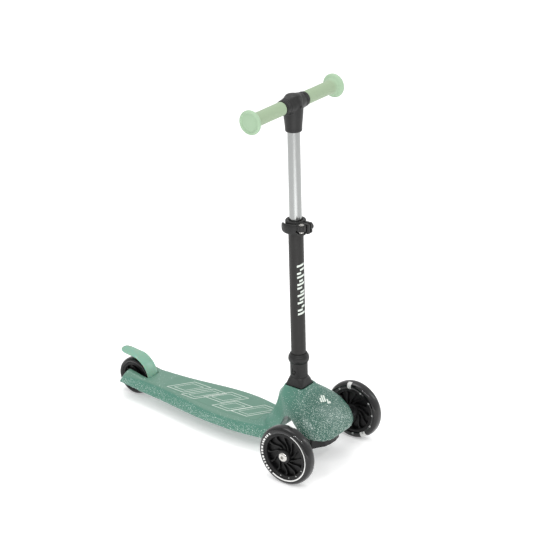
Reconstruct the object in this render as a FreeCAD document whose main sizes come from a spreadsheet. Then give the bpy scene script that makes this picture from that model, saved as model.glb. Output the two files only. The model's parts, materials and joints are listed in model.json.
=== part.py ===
import FreeCAD, Part

import math
import os
import re
import sys

import Sketcher

# Child's three-wheel kick scooter, lean-to-steer, millimetres.
# Forward is -Y, up is +Z and the rider's left is +X.  The origin lies on the ground,
# under the middle of the overall length.

SIZES = {
    # overall
    "wheelbase": 470.0,
    "front_radius": 60.0,
    "rear_radius": 40.0,
    "track": 228.0,
    "bar_width": 268.0,
    "bar_height": 562.0,
    # wheels
    "wheel_width": 24.0,
    "tyre_depth": 13.0,
    "rear_tyre_depth": 9.0,
    "rim_thickness": 4.0,
    "web_thickness": 14.0,
    "spoke_count": 12.0,
    "bearing_radius": 11.0,
    "bearing_width": 7.0,
    "axle_radius": 4.0,
    "bolt_head_radius": 9.5,
    "bolt_head_height": 4.5,
    "running_gap": 0.05,
    # deck and hood moulding
    "deck_top": 53.0,
    "deck_bottom": 30.0,
    "deck_half_width": 62.0,
    "deck_wall": 3.0,
    "rib_thickness": 3.0,
    "rib_pitch": 46.0,
    "hood_top": "=front_radius + 90",
    "hood_half_width": 62.0,
    "hood_front": 51.0,
    "deck_front": 74.0,
    "stem_opening": "=lower_tube_radius + 6",
    "fork_slot": "=wheel_width / 2 + 5",
    "decal_thickness": 0.6,
    # stem
    "stem_rake": 1.81,
    "stem_foot": 54.0,
    "stem_foot_height": "=hood_top + 5",
    "lower_tube_radius": 14.5,
    "lower_tube_wall": 1.5,
    "lower_tube_end": 325.0,
    "socket_depth": 38.0,
    "socket_radius": "=lower_tube_radius + 2.7",
    "socket_top": 41.0,
    "upper_tube_radius": 12.0,
    "upper_tube_wall": 1.3,
    "height_travel": 140.0,
    "clamp_height": 24.0,
    "clamp_radius": "=lower_tube_radius + 5.5",
    "lever_thickness": 6.0,
    "button_radius": 3.0,
    "button_travel": 3.0,
    # handlebar
    "crossbar_radius": 11.0,
    "crossbar_wall": 1.5,
    "grip_radius": 13.0,
    "grip_start": 35.0,
    "flange_radius": 23.5,
    "flange_thickness": 8.0,
    "tee_radius": 18.0,
    "tee_drop": 52.5,
    # steering
    "lean_pivot_height": "=front_radius + 32",
    "lean_pivot_radius": 5.0,
    "kingpin_offset": 52.0,
    "kingpin_radius": 4.0,
    "steering_arm": 28.0,
    "tie_rod_height": "=front_radius - 5.5",
    "tie_rod_thickness": 6.0,
    "truck_bottom": "=front_radius - 16",
    "truck_top": "=front_radius + 14",
    "bracket_bottom": "=truck_top + 8",
    "bracket_top": "=bracket_bottom + 24",
    "spring_wire": 1.6,
    "spring_radius": 6.0,
    # brake
    "brake_setback": "=rear_radius + 11.5",
    "brake_pin_height": "=rear_radius + 3.5",
    "brake_half_width": "=fork_slot - 1",
    "brake_pin_radius": 2.5,
    "fork_gap": 5.5,
    "hinge_room": 12.5,
}

doc = FreeCAD.newDocument("kick_scooter")
sheet = doc.addObject("Spreadsheet::Sheet", "Sizes")
for row, alias in enumerate(SIZES, start=1):
    sheet.set(f"A{row}", alias.replace("_", " "))
    sheet.setAlias(f"B{row}", alias)
for row, value in enumerate(SIZES.values(), start=1):
    sheet.set(f"B{row}", str(value))
doc.recompute()

X = FreeCAD.Vector(1, 0, 0)
Y = FreeCAD.Vector(0, 1, 0)
Z = FreeCAD.Vector(0, 0, 1)
parts = []


def size(alias):
    """Value of a cell of the sheet."""
    return float(sheet.get(alias))


def linked(text):
    """Expression with each {alias} turned into a cell of the sheet."""
    return re.sub(r"\{(\w+)\}", r"Sizes.\1", str(text))


def number(text):
    """Present value of such an expression."""
    return float(sheet.evalExpression(linked(text)))


def keep(thing, label):
    """Names a finished sub-part."""
    thing.Label = label
    parts.append(thing)
    return thing


def body_plane(body, role):
    return next(plane for plane in body.Origin.OriginFeatures if plane.Role == role)


def outline(body, name, role, corners):
    """Closed sketch of straight edges, each corner bound to a pair of expressions."""
    sketch = body.newObject("Sketcher::SketchObject", name)
    sketch.AttachmentSupport = [(body_plane(body, role), "")]
    sketch.MapMode = "FlatFace"
    places = [FreeCAD.Vector(number(across), number(up), 0) for across, up in corners]
    count = len(places)
    for index in range(count):
        sketch.addGeometry(Part.LineSegment(places[index], places[(index + 1) % count]), False)
    for index in range(count):
        sketch.addConstraint(Sketcher.Constraint("Coincident", index, 2, (index + 1) % count, 1))
    for index, corner in enumerate(corners):
        for kind, axis, text, place in (
            ("DistanceX", -2, corner[0], places[index].x),
            ("DistanceY", -1, corner[1], places[index].y),
        ):
            if str(text) == "0":
                sketch.addConstraint(Sketcher.Constraint("PointOnObject", index, 1, axis))
                continue
            made = sketch.addConstraint(Sketcher.Constraint(kind, -1, 1, index, 1, place))
            sketch.setExpression(f"Constraints[{made}]", linked(text))
    return sketch


def turned(name, corners):
    """Body turned about its own Z axis from (radius, height) corners."""
    body = doc.addObject("PartDesign::Body", name)
    sketch = outline(body, name + "_profile", "XZ_Plane", corners)
    turn = body.newObject("PartDesign::Revolution", name + "_turn")
    turn.Profile = sketch
    turn.ReferenceAxis = (sketch, ["V_Axis"])
    turn.Angle = 360
    doc.recompute()
    return body


def ring(name, outer, inner, low, high, label=None, at=None):
    """Plain round tube, bush or washer."""
    body = turned(name, [(inner, low), (outer, low), (outer, high), (inner, high)])
    if at is not None:
        body.Placement = at
    return keep(body, label) if label else body


def slab(name, role, corners, thickness, midplane=True):
    """Body padded from a straight-edged outline."""
    body = doc.addObject("PartDesign::Body", name)
    sketch = outline(body, name + "_profile", role, corners)
    pad = body.newObject("PartDesign::Pad", name + "_pad")
    pad.Profile = sketch
    pad.Midplane = midplane
    pad.setExpression("Length", linked(thickness))
    doc.recompute()
    return body


def joined(name, *pieces):
    fuse = doc.addObject("Part::MultiFuse", name)
    fuse.Shapes = list(pieces)
    fuse.Refine = True
    doc.recompute()
    return fuse


def trimmed(name, base, *tools):
    tool = tools[0] if len(tools) == 1 else joined(name + "_tools", *tools)
    cut = doc.addObject("Part::Cut", name)
    cut.Base = base
    cut.Tool = tool
    cut.Refine = True
    doc.recompute()
    return cut


def group(name, *pieces):
    """Several equal loose solids kept as one sub-part."""
    compound = doc.addObject("Part::Compound", name)
    compound.Links = list(pieces)
    doc.recompute()
    return keep(compound, name)


def block(name, low, high):
    """Box between two corners given as expressions."""
    box = doc.addObject("Part::Box", name)
    for axis, prop in enumerate(("Length", "Width", "Height")):
        box.setExpression(prop, linked(f"({high[axis]}) - ({low[axis]})"))
        box.setExpression(f"Placement.Base.{'xyz'[axis]}", linked(low[axis]))
    return box


def rod(name, radius, length, at):
    cylinder = doc.addObject("Part::Cylinder", name)
    cylinder.setExpression("Radius", linked(radius))
    cylinder.setExpression("Height", linked(length))
    cylinder.Placement = at
    return cylinder


def aimed(base, direction=Z):
    """Placement that turns local Z to a direction."""
    return FreeCAD.Placement(base, FreeCAD.Rotation(Z, direction))


# ---------------------------------------------------------------- reference places
overall_length = size("wheelbase") + size("front_radius") + size("rear_radius")
front_y = size("front_radius") - overall_length / 2
rear_y = front_y + size("wheelbase")
FRONT_Y = "({front_radius} - ({wheelbase} + {front_radius} + {rear_radius}) / 2)"
REAR_Y = "(" + FRONT_Y + " + {wheelbase})"
front_axle = FreeCAD.Vector(0, front_y, size("front_radius"))
rear_axle = FreeCAD.Vector(0, rear_y, size("rear_radius"))
stem_rotation = FreeCAD.Rotation(X, -size("stem_rake"))
stem_foot = FreeCAD.Vector(0, front_y + size("stem_foot"), size("stem_foot_height"))
stem = FreeCAD.Placement(stem_foot, stem_rotation)


def on_stem(local, direction=Z):
    """Placement given in the stem's own leaning frame."""
    return stem.multiply(FreeCAD.Placement(local, FreeCAD.Rotation(Z, direction)))


# ---------------------------------------------------------------- wheels
def wheel(tag, radius, depth, placement, spokes):
    """Tyre, spoked core, two bearings and their spacer, about local Z."""
    half = "{wheel_width} / 2"
    rim = f"({radius} - {depth})"
    rim_in = f"({rim} - {{rim_thickness}})"
    hub = "({bearing_radius} + 3)"
    tyre = turned(f"tyre_{tag}_body", [
        (rim, f"-({half}) + 2"), (f"{radius} - 8", f"-({half})"), (f"{radius} - 4", f"-({half}) + 1.5"),
        (f"{radius} - 1", f"-({half}) + 5"), (radius, f"-({half}) + 9"), (radius, f"{half} - 9"),
        (f"{radius} - 1", f"{half} - 5"), (f"{radius} - 4", f"{half} - 1.5"), (f"{radius} - 8", half),
        (rim, f"{half} - 2"),
    ])
    tyre.Placement = placement
    keep(tyre, f"tyre_{tag}")

    seat = "{bearing_radius}"
    ledge = "({bearing_radius} - 2)"
    shelf = f"({half} - {{bearing_width}})"
    web = "{web_thickness} / 2"
    core = turned(f"wheel_core_{tag}_body", [
        (seat, f"-({half})"), (hub, f"-({half})"), (hub, f"-({web})"), (rim_in, f"-({web})"),
        (rim_in, f"-({half}) + 2"), (rim, f"-({half}) + 2"), (rim, f"{half} - 2"),
        (rim_in, f"{half} - 2"), (rim_in, web), (hub, web), (hub, half), (seat, half),
        (seat, shelf), (ledge, shelf), (ledge, f"-{shelf}"), (seat, f"-{shelf}"),
    ])
    window_in = f"({hub} + 2)"
    window_out = f"({rim_in} - 2)"
    sketch = outline(core, f"window_{tag}", "XY_Plane", [
        (window_in, "-2"), (f"{window_out} * 0.95", f"-{window_out} * 0.02 + 2"),
        (f"{window_out} * 0.9", f"{window_out} * 0.3"), (f"{window_in} + 1", "2"),
    ])
    before = core.Shape.Volume
    pocket = core.newObject("PartDesign::Pocket", f"window_cut_{tag}")
    pocket.Profile = sketch
    pocket.Midplane = True
    pocket.setExpression("Length", linked("{web_thickness} * 2"))
    doc.recompute()
    if core.Shape.Volume >= before:
        sys.exit(f"the window of wheel_core_{tag} cuts nothing")
    pattern = core.newObject("PartDesign::PolarPattern", f"windows_{tag}")
    pattern.Originals = [pocket]
    pattern.Axis = (body_axis(core, "Z_Axis"), [""])
    pattern.Angle = 360
    pattern.Occurrences = int(spokes)
    core.Tip = pattern
    doc.recompute()
    core.Placement = placement
    keep(core, f"wheel_core_{tag}")

    rings = []
    for index, side in enumerate((-1, 1)):
        low = f"{shelf}" if side > 0 else f"-({half})"
        high = half if side > 0 else f"-{shelf}"
        rings.append(ring(f"bearing_{tag}_{index}", seat, "{axle_radius} + {running_gap}", low, high))
        rings[-1].Placement = placement
    group(f"bearings_{tag}", *rings)
    ring(f"spacer_{tag}", "{axle_radius} + 2", "{axle_radius} + {running_gap}",
         f"-{shelf}", shelf, f"bearing_spacer_{tag}", placement)


def body_axis(body, role):
    return next(axis for axis in body.Origin.OriginFeatures if axis.Role == role)


for side, tag in ((1, "left"), (-1, "right")):
    hub_centre = front_axle + X * (side * size("track") / 2)
    place = aimed(hub_centre, X * side)
    wheel(f"front_{tag}", "{front_radius}", "{tyre_depth}", place, size("spoke_count"))
    # bolt from outside through the bearings into the knuckle
    bolt = turned(f"axle_bolt_{tag}_body", [
        ("0", "-{track} / 2 + {kingpin_offset} + 11"), ("{axle_radius}",
                                                        "-{track} / 2 + {kingpin_offset} + 11"),
        ("{axle_radius}", "{wheel_width} / 2"), ("{bolt_head_radius}", "{wheel_width} / 2"),
        ("{bolt_head_radius}", "{wheel_width} / 2 + {bolt_head_height} * 0.5"),
        ("{bolt_head_radius} * 0.7", "{wheel_width} / 2 + {bolt_head_height}"),
        ("{bolt_head_radius} * 0.35", "{wheel_width} / 2 + {bolt_head_height}"),
        ("{bolt_head_radius} * 0.35", "{wheel_width} / 2 + {bolt_head_height} * 0.4"),
        ("0", "{wheel_width} / 2 + {bolt_head_height} * 0.4"),
    ])
    bolt.Placement = place
    keep(bolt, f"front_axle_bolt_{tag}")
    ring(f"axle_washer_{tag}_body", "{axle_radius} + 3", "{axle_radius} + {running_gap}",
         "-{wheel_width} / 2 - 3", "-{wheel_width} / 2", f"axle_washer_{tag}", place)

rear_place = aimed(rear_axle, X)
wheel("rear", "{rear_radius}", "{rear_tyre_depth}", rear_place, size("spoke_count") * 0.75)

# ---------------------------------------------------------------- rear axle
# shoulder bolt from the rider's left; the right arm covers its blind end
rear_bolt = turned("rear_axle_bolt_body", [
    ("0", "-{fork_slot} - 14"), ("{axle_radius}", "-{fork_slot} - 14"), ("{axle_radius}", "{fork_slot} + 16"),
    ("{axle_radius} + 3", "{fork_slot} + 16"), ("{axle_radius} + 3", "{fork_slot} + 19"),
    ("0", "{fork_slot} + 19"),
])
rear_bolt.Placement = rear_place
keep(rear_bolt, "rear_axle_bolt")
washers = []
for index, (low, high) in enumerate((("{wheel_width} / 2", "{fork_slot}"),
                                     ("-{fork_slot}", "-{wheel_width} / 2"))):
    washers.append(ring(f"rear_spacer_{index}", "{axle_radius} + 3", "{axle_radius} + {running_gap}", low,
                        high))
    washers[-1].Placement = rear_place
group("rear_axle_spacers", *washers)


# ---------------------------------------------------------------- deck and hood moulding
SCREW_OFFSET = 20


def egg_section(height, half_width, front, back, squareness, flare):
    """Closed level section of the hood: a squared ellipse, wider and squarer towards its front."""
    count = 24
    points = []
    for index in range(count):
        angle = 2 * math.pi * index / count
        power = 2 / (squareness[0] if math.sin(angle) < 0 else squareness[1])
        across = math.copysign(abs(math.cos(angle)) ** power, math.cos(angle))
        along = math.copysign(abs(math.sin(angle)) ** power, math.sin(angle))
        share = (1 + along) / 2
        points.append(FreeCAD.Vector(half_width * across * (1 + flare * (0.5 - share)),
                                     front_y + front + (back - front) * share, height))
    curve = Part.BSplineCurve()
    curve.interpolate(points, PeriodicFlag=True)
    return Part.Wire(curve.toShape())


def hood_block(inset):
    """Hood's outer form, or its hollow when inset by the wall."""
    top = size("hood_top")
    wide = size("hood_half_width")
    nose = size("hood_front")
    opening = size("stem_opening")
    middle = size("stem_foot")
    rear_wall = size("deck_front")
    # height, half-width, front and back, squareness of the two halves, flare towards the front
    stations = [
        (top, opening + 4, middle - opening - 4, middle + opening + 2, (6.0, 6.0), 0.0),
        (top - 7, wide * 0.50, middle - wide * 0.45, middle + wide * 0.42, (4.0, 3.4), 0.1),
        (top - 20, wide * 0.71, 6, rear_wall + 17, (3.2, 2.5), 0.4),
        (top - 35, wide * 0.87, -nose * 0.27, rear_wall + 23, (3.0, 2.2), 0.7),
        (top - 50, wide * 0.96, -nose * 0.56, rear_wall + 28, (3.0, 2.1), 0.8),
        (top - 65, wide, -nose * 0.80, rear_wall + 34, (3.0, 2.1), 0.8),
        (top - 80, wide, -nose * 0.95, rear_wall + 42, (3.1, 2.4), 0.6),
        (size("deck_top"), wide, -nose, rear_wall + 52, (3.1, 2.8), 0.5),
        (size("deck_bottom"), wide, -nose, rear_wall + 52, (3.1, 3.2), 0.45),
    ]
    wires = []
    for height, half_width, front, back, squareness, flare in stations:
        if inset:
            back = min(back - inset, rear_wall)
        wires.append(egg_section(height - inset, half_width - inset, front + inset, back, squareness, flare))
    return Part.makeLoft(wires, True, False)


def arch_cutter():
    """Everything below the lower edge, which arches over the front wheels and runs down to the deck."""
    nose = size("hood_front")
    middle = size("stem_foot")
    # place behind the front axle and height above it
    edge = [(-nose - 15, 6), (-nose + 4, 10), (-nose * 0.5, 15), (-8, 19), (8, 28), (20, 36),
            (middle - 16, 43), (middle - 5, 38.5), (middle + 4, 24), (middle + 12, 8), (middle + 24, -6),
            (middle + 40, -20), (middle + 58, -38)]
    points = [FreeCAD.Vector(-200, front_y + along, size("front_radius") + height) for along, height in edge]
    curve = Part.BSplineCurve()
    curve.interpolate(points)
    low = -50
    corner_a = FreeCAD.Vector(-200, points[-1].y, low)
    corner_b = FreeCAD.Vector(-200, points[0].y, low)
    wire = Part.Wire([curve.toShape(), Part.makeLine(points[-1], corner_a),
                      Part.makeLine(corner_a, corner_b), Part.makeLine(corner_b, points[0])])
    return Part.Face(wire).extrude(FreeCAD.Vector(400, 0, 0))


def deck_section(along, bottom, shoulder, top, low, inset):
    """Trapezoid with rounded shoulders across the deck."""
    wall = size("deck_wall") if inset else 0
    top -= wall
    low -= 5 * wall
    half = [(bottom - wall, low), (bottom - wall, size("deck_bottom") + 4), (shoulder + 2 - wall, top - 6),
            (shoulder - 4 - wall, top)]
    corners = half + [(-across, height) for across, height in reversed(half)]
    points = [FreeCAD.Vector(across, along, height) for across, height in corners]
    return Part.makePolygon(points + points[:1])


def fork_front():
    """Front end of the rear fork's slot."""
    return rear_y - size("rear_radius") - size("fork_gap")


def deck_block(inset=False):
    """Deck and rear fork, or the hollow below the deck."""
    wide = size("deck_half_width")
    start = front_y + size("deck_front")
    slot = rear_y - size("rear_radius") - 3
    run = slot - start
    low = size("deck_bottom")
    top = size("deck_top")
    # share of the run, then the widths as shares of the widest
    waist = [(0.0, 0.76, 0.63), (0.08, 0.81, 0.68), (0.16, 0.90, 0.76), (0.27, 0.985, 0.875),
             (0.42, 1.0, 0.925), (0.60, 0.93, 0.81), (0.75, 0.82, 0.665), (0.88, 0.735, 0.58),
             (1.0, 0.68, 0.53)]
    stations = [(start + run * share, bottom, shoulder, 0) for share, bottom, shoulder in waist]
    if inset:
        ends = (start + 35, fork_front() - size("hinge_room") - 4)
        stations = [(min(max(along, ends[0]), ends[1]), *widths) for along, *widths in stations[2:]]
    tail = [stations[-1], (rear_y - 20, 0.66, 0.53, 4), (rear_y + 4, 0.645, 0.52, 8),
            (rear_y + 19, 0.63, 0.51, 8)]
    blocks = [Part.makeLoft([deck_section(along, wide * bottom, wide * shoulder, top + rise,
                                          low + rise * 0.4, inset)
                             for along, bottom, shoulder, rise in run_of], True, False)
              for run_of in ((stations,) if inset else (stations, tail))]
    return blocks[0].fuse(blocks[1:]) if blocks[1:] else blocks[0]


def tail_cutter():
    """Slants the rear ends of the fork arms."""
    profile = [(3, 90), (3, 61), (17, 36), (12, 10), (80, 10), (80, 90)]
    points = [FreeCAD.Vector(-100, rear_y + along, height) for along, height in profile]
    return Part.Face(Part.makePolygon(points + points[:1])).extrude(FreeCAD.Vector(200, 0, 0))


def rib_boxes():
    """Lattice of ribs in the deck's hollow."""
    thick = size("rib_thickness")
    start = front_y + size("deck_front") + 35
    end = fork_front() - size("hinge_room") - 4
    low = size("deck_bottom")
    tall = size("deck_top") - low
    wide = size("deck_half_width")
    boxes = []
    for across in (-20, 20):
        boxes.append(Part.makeBox(thick, end - start, tall, FreeCAD.Vector(across - thick / 2, start, low)))
    count = int((end - start) // size("rib_pitch"))
    for index in range(1, count + 1):
        along = start + (end - start) * index / (count + 1)
        boxes.append(Part.makeBox(2 * wide, thick, tall, FreeCAD.Vector(-wide, along - thick / 2, low)))
    return boxes


def bracket_steps():
    """Lean bracket's plan: (half-width, first and last place behind the front axle)."""
    return [(30, 9, 46), (25, 46, size("deck_front"))]


# skin left over the brake hinge, and how far its pin is held in each side of the fork
HINGE_SKIN = 3.5
PIN_SEAT = 5.5


def deck_body():
    """One moulding: hood, deck, ribs, rear fork, brake hinge's pocket and bores for what it carries."""
    wall = size("deck_wall")
    hood = hood_block(0).cut(hood_block(wall))
    hollow = deck_block(True)
    for rib in rib_boxes():
        hollow = hollow.cut(rib)
    shape = hood.fuse(deck_block()).cut(hollow).cut(arch_cutter()).cut(tail_cutter())
    slot_half = size("fork_slot")
    shape = shape.cut(Part.makeBox(2 * slot_half, 200, 200, FreeCAD.Vector(-slot_half, fork_front(), -50)))
    # pocket for the brake's hinge, under the deck's skin
    room = size("hinge_room")
    shape = shape.cut(Part.makeBox(2 * slot_half, room + 1, size("deck_top") - HINGE_SKIN + 50,
                                   FreeCAD.Vector(-slot_half, fork_front() - room, -50)))
    opening = size("stem_opening")
    hole = Part.makeBox(2 * opening, 2 * opening, 40,
                        FreeCAD.Vector(-opening, stem_foot.y - opening, size("hood_top") - 25))
    shape = shape.cut(hole)
    # room for the lean bracket and, below it, for the truck's tail
    for half, first, last in bracket_steps():
        shape = shape.cut(Part.makeBox(2 * half, last - first, size("bracket_top") - size("deck_top") - 4,
                                       FreeCAD.Vector(-half, front_y + first, size("deck_top") + 4)))
    pin_y = rear_y - size("brake_setback")
    pin_z = size("brake_pin_height")
    gap = size("running_gap")
    pin_half = slot_half + PIN_SEAT
    pin = Part.makeCylinder(size("brake_pin_radius") + gap, pin_half + 60,
                            FreeCAD.Vector(-pin_half - gap, pin_y, pin_z), X)
    axle_depth = size("fork_slot") + 14.5
    axle = Part.makeCylinder(size("axle_radius") + gap, axle_depth + 100,
                             FreeCAD.Vector(-axle_depth, rear_y, size("rear_radius")), X)
    sink = Part.makeCylinder(size("axle_radius") + 3.2, 100,
                             FreeCAD.Vector(size("fork_slot") + 16, rear_y, size("rear_radius")), X)
    screws = [Part.makeCylinder(2.5 + gap, 14, FreeCAD.Vector(side * SCREW_OFFSET,
                                                              front_y + size("deck_front") - 1,
                                                        size("lean_pivot_height")), Y) for side in (-1, 1)]
    for tool in [pin, axle, sink] + screws:
        shape = shape.cut(tool)
    return shape


moulding = doc.addObject("Part::Feature", "deck_body")
moulding.Shape = deck_body()
keep(moulding, "deck_body")

# printed anti-slip sheet on the deck's flat top
DECAL_START = "(" + FRONT_Y + " + {deck_front} + 60)"
DECAL_END = "(" + REAR_Y + " - {brake_setback} - 30)"
decal = slab("deck_decal_body", "XY_Plane", [
    ("-{deck_half_width} * 0.62", DECAL_START), ("{deck_half_width} * 0.62", DECAL_START),
    ("{deck_half_width} * 0.70", "(" + DECAL_START + " + 60)"),
    ("{deck_half_width} * 0.64", "(" + DECAL_START + " + 130)"),
    ("{deck_half_width} * 0.40", DECAL_END), ("-{deck_half_width} * 0.40", DECAL_END),
    ("-{deck_half_width} * 0.64", "(" + DECAL_START + " + 130)"),
    ("-{deck_half_width} * 0.70", "(" + DECAL_START + " + 60)"),
], "{decal_thickness}", False)
decal.Placement = aimed(FreeCAD.Vector(0, 0, size("deck_top")))
keep(decal, "deck_decal")

# ---------------------------------------------------------------- stem
# flared square foot and round socket that hold the lower tube
foot_flare = doc.addObject("Part::Wedge", "socket_flare")
for prop, text in (("Xmin", "-{stem_opening} + 0.5"), ("Xmax", "{stem_opening} - 0.5"),
                   ("Zmin", "-{stem_opening} + 0.5"), ("Zmax", "{stem_opening} - 0.5"),
                   ("X2min", "-{socket_radius} * 0.72"), ("X2max", "{socket_radius} * 0.72"),
                   ("Z2min", "-{socket_radius} * 0.72"), ("Z2max", "{socket_radius} * 0.72"), ("Ymin", "0"),
                   ("Ymax", "17")):
    foot_flare.setExpression(prop, linked(text))
foot_flare.Placement = on_stem(FreeCAD.Vector(0, 0, -6)).multiply(
    FreeCAD.Placement(FreeCAD.Vector(0, 0, 0), FreeCAD.Rotation(X, 90)))
socket_barrel = rod("socket_barrel", "{socket_radius}", "{socket_top} + {socket_depth} + 3.5",
                    on_stem(FreeCAD.Vector(0, 0, -size("socket_depth") - 3.5)))
socket_bore = rod("socket_bore", "{lower_tube_radius} + {running_gap}", "{socket_top} + {socket_depth} + 5",
                  on_stem(FreeCAD.Vector(0, 0, -size("socket_depth"))))
BUTTON_LEVEL = 23.0
button_hole = rod("socket_button_hole", "{button_radius} + {running_gap}", "{socket_radius} + 5",
                  on_stem(FreeCAD.Vector(0, 0, BUTTON_LEVEL), -X))
keep(trimmed("stem_socket_shape", joined("socket_solid", foot_flare, socket_barrel), socket_bore,
             button_hole),
     "stem_socket")

ring("stem_ring_body", "{lower_tube_radius} + 6", "{lower_tube_radius} + {running_gap}", "{socket_top}",
     "{socket_top} + 19",
     "stem_ring", stem)

tube_blank = ring("lower_tube_blank", "{lower_tube_radius}", "{lower_tube_radius} - {lower_tube_wall}",
                  "-{socket_depth}", "{lower_tube_end}")
tube_blank.Placement = stem
tube_hole = rod("tube_button_hole", "{button_radius} + {running_gap}", "{socket_radius} + 5",
                on_stem(FreeCAD.Vector(0, 0, BUTTON_LEVEL), -X))
keep(trimmed("lower_tube_shape", tube_blank, tube_hole), "lower_tube")

button = turned("release_button_body", [
    ("0", "{lower_tube_radius} - {lower_tube_wall} - 2.2"),
    ("{button_radius} + 1.5", "{lower_tube_radius} - {lower_tube_wall} - 2.2"),
    ("{button_radius} + 1.5", "{lower_tube_radius} - {lower_tube_wall} - 1.1"),
    ("{button_radius}", "{lower_tube_radius} - {lower_tube_wall} - 1.1"),
    ("{button_radius}", "{socket_radius} - 0.2"), ("{button_radius} * 0.6", "{socket_radius} + 0.8"),
    ("0", "{socket_radius} + 0.8"),
])
button.Placement = on_stem(FreeCAD.Vector(0, 0, BUTTON_LEVEL), -X)
keep(button, "release_button")

# folded leaf spring behind the button, inside the tube
leaf_half = "({lower_tube_radius} - {lower_tube_wall})"
leaf = slab("button_spring_body", "XZ_Plane", [
    (f"-{leaf_half} + 2.6", "6"), (f"-{leaf_half} + 5", "-30"), (f"{leaf_half} - 2.5", "-30"),
    (f"{leaf_half} - 0.9", "6"), (f"{leaf_half} - 1.7", "6"), (f"{leaf_half} - 3.3", "-29.2"),
    (f"-{leaf_half} + 5.8", "-29.2"), (f"-{leaf_half} + 3.4", "6"),
], "5")
leaf.Placement = on_stem(FreeCAD.Vector(0, 0, BUTTON_LEVEL))
keep(leaf, "button_spring")

bushing_bore = "{upper_tube_radius} + {running_gap}"
bushing = turned("tube_bushing_body", [
    (bushing_bore, "{lower_tube_end} - 45"),
    ("{lower_tube_radius} - {lower_tube_wall}", "{lower_tube_end} - 45"),
    ("{lower_tube_radius} - {lower_tube_wall}", "{lower_tube_end}"),
    ("{lower_tube_radius}", "{lower_tube_end}"), ("{lower_tube_radius}", "{lower_tube_end} + 2"),
    (bushing_bore, "{lower_tube_end} + 2"),
])
bushing.Placement = stem
keep(bushing, "tube_bushing")

# ---------------------------------------------------------------- height clamp
CLAMP_LOW = "({lower_tube_end} - 13)"
CLAMP_HIGH = "(" + CLAMP_LOW + " + {clamp_height})"
clamp_middle = number(CLAMP_LOW) + size("clamp_height") / 2
BOLT_AHEAD = 26.0
PIVOT_SIDE = 18.0
clamp_ring = turned("clamp_ring", [
    ("{lower_tube_radius} + {running_gap}", CLAMP_LOW), ("{clamp_radius} - 2", CLAMP_LOW),
    ("{clamp_radius}", CLAMP_LOW + " + 3"),
    ("{clamp_radius}", CLAMP_HIGH + " - 3"), ("{clamp_radius} - 2", CLAMP_HIGH),
    ("{upper_tube_radius} + 0.6", CLAMP_HIGH), ("{upper_tube_radius} + 0.6", "{lower_tube_end} + 2"),
    ("{lower_tube_radius} + {running_gap}", "{lower_tube_end} + 2"),
])
ears = block("clamp_ears", ("-8.5", "-35", CLAMP_LOW + " + 2"), ("8.5", "-17", CLAMP_HIGH + " - 2"))
split = block("clamp_split", ("-1.5", "-40", CLAMP_LOW + " - 1"), ("1.5", "-10", CLAMP_HIGH + " + 1"))
tube_way = rod("clamp_tube_way", "{lower_tube_radius} + {running_gap}", "{lower_tube_end} + 2",
               aimed(FreeCAD.Vector(0, 0, 0)))
bolt_way = rod("clamp_bolt_way", "3 + {running_gap}", "40",
               aimed(FreeCAD.Vector(-20, -BOLT_AHEAD, clamp_middle), X))
collar = trimmed("clamp_collar_shape", joined("clamp_solid", clamp_ring, ears), split, tube_way, bolt_way)
collar.Placement = stem
keep(collar, "clamp_collar")

clamp_bolt = rod("clamp_bolt_shape", "3", "34",
                 on_stem(FreeCAD.Vector(-PIVOT_SIDE, -BOLT_AHEAD, clamp_middle), X))
keep(clamp_bolt, "clamp_bolt")
ring("clamp_nut_body", "7", "3 + {running_gap}", "8.6", "15.6", "clamp_nut",
     on_stem(FreeCAD.Vector(0, -BOLT_AHEAD, clamp_middle), X))
barrel_body = rod("clamp_barrel_body", "5", "{clamp_height}",
                  on_stem(FreeCAD.Vector(-PIVOT_SIDE, -BOLT_AHEAD, number(CLAMP_LOW))))
barrel_bolt_way = rod("barrel_bolt_way", "3 + {running_gap}", "30",
                      on_stem(FreeCAD.Vector(-PIVOT_SIDE, -BOLT_AHEAD, clamp_middle), X))
keep(trimmed("clamp_barrel_shape", barrel_body, barrel_bolt_way), "clamp_barrel")

LEVER_GAP = 1.5
lever_band = ring("lever_band", "{clamp_radius} + " + str(LEVER_GAP) + " + {lever_thickness}",
                  "{clamp_radius} + " + str(LEVER_GAP), CLAMP_LOW + " + 2", CLAMP_HIGH + " - 2")
lever_keep = slab("lever_keep", "XY_Plane", [
    ("0", "0"), ("-40 * sin(25)", "40"), ("-60", "40"), ("-60", "-70 * cos(38)"),
    ("-70 * sin(38)", "-70 * cos(38)"),
], "2 * {bar_height}")
lever_part = doc.addObject("Part::Common", "lever_arc")
lever_part.Base = lever_band
lever_part.Tool = lever_keep
eye = rod("lever_eye", "8.5", "{clamp_height} - 4",
          aimed(FreeCAD.Vector(-PIVOT_SIDE, -BOLT_AHEAD, number(CLAMP_LOW) + 2)))
eye_bore = rod("lever_eye_bore", "5 + {running_gap}", "{clamp_height}",
               aimed(FreeCAD.Vector(-PIVOT_SIDE, -BOLT_AHEAD, number(CLAMP_LOW))))
eye_slot = rod("lever_eye_slot", "11", "8", aimed(FreeCAD.Vector(-PIVOT_SIDE, -BOLT_AHEAD, clamp_middle - 4)))
lever = trimmed("clamp_lever_shape", joined("lever_solid", lever_part, eye), eye_bore, eye_slot)
lever.Placement = stem
keep(lever, "clamp_lever")

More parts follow.
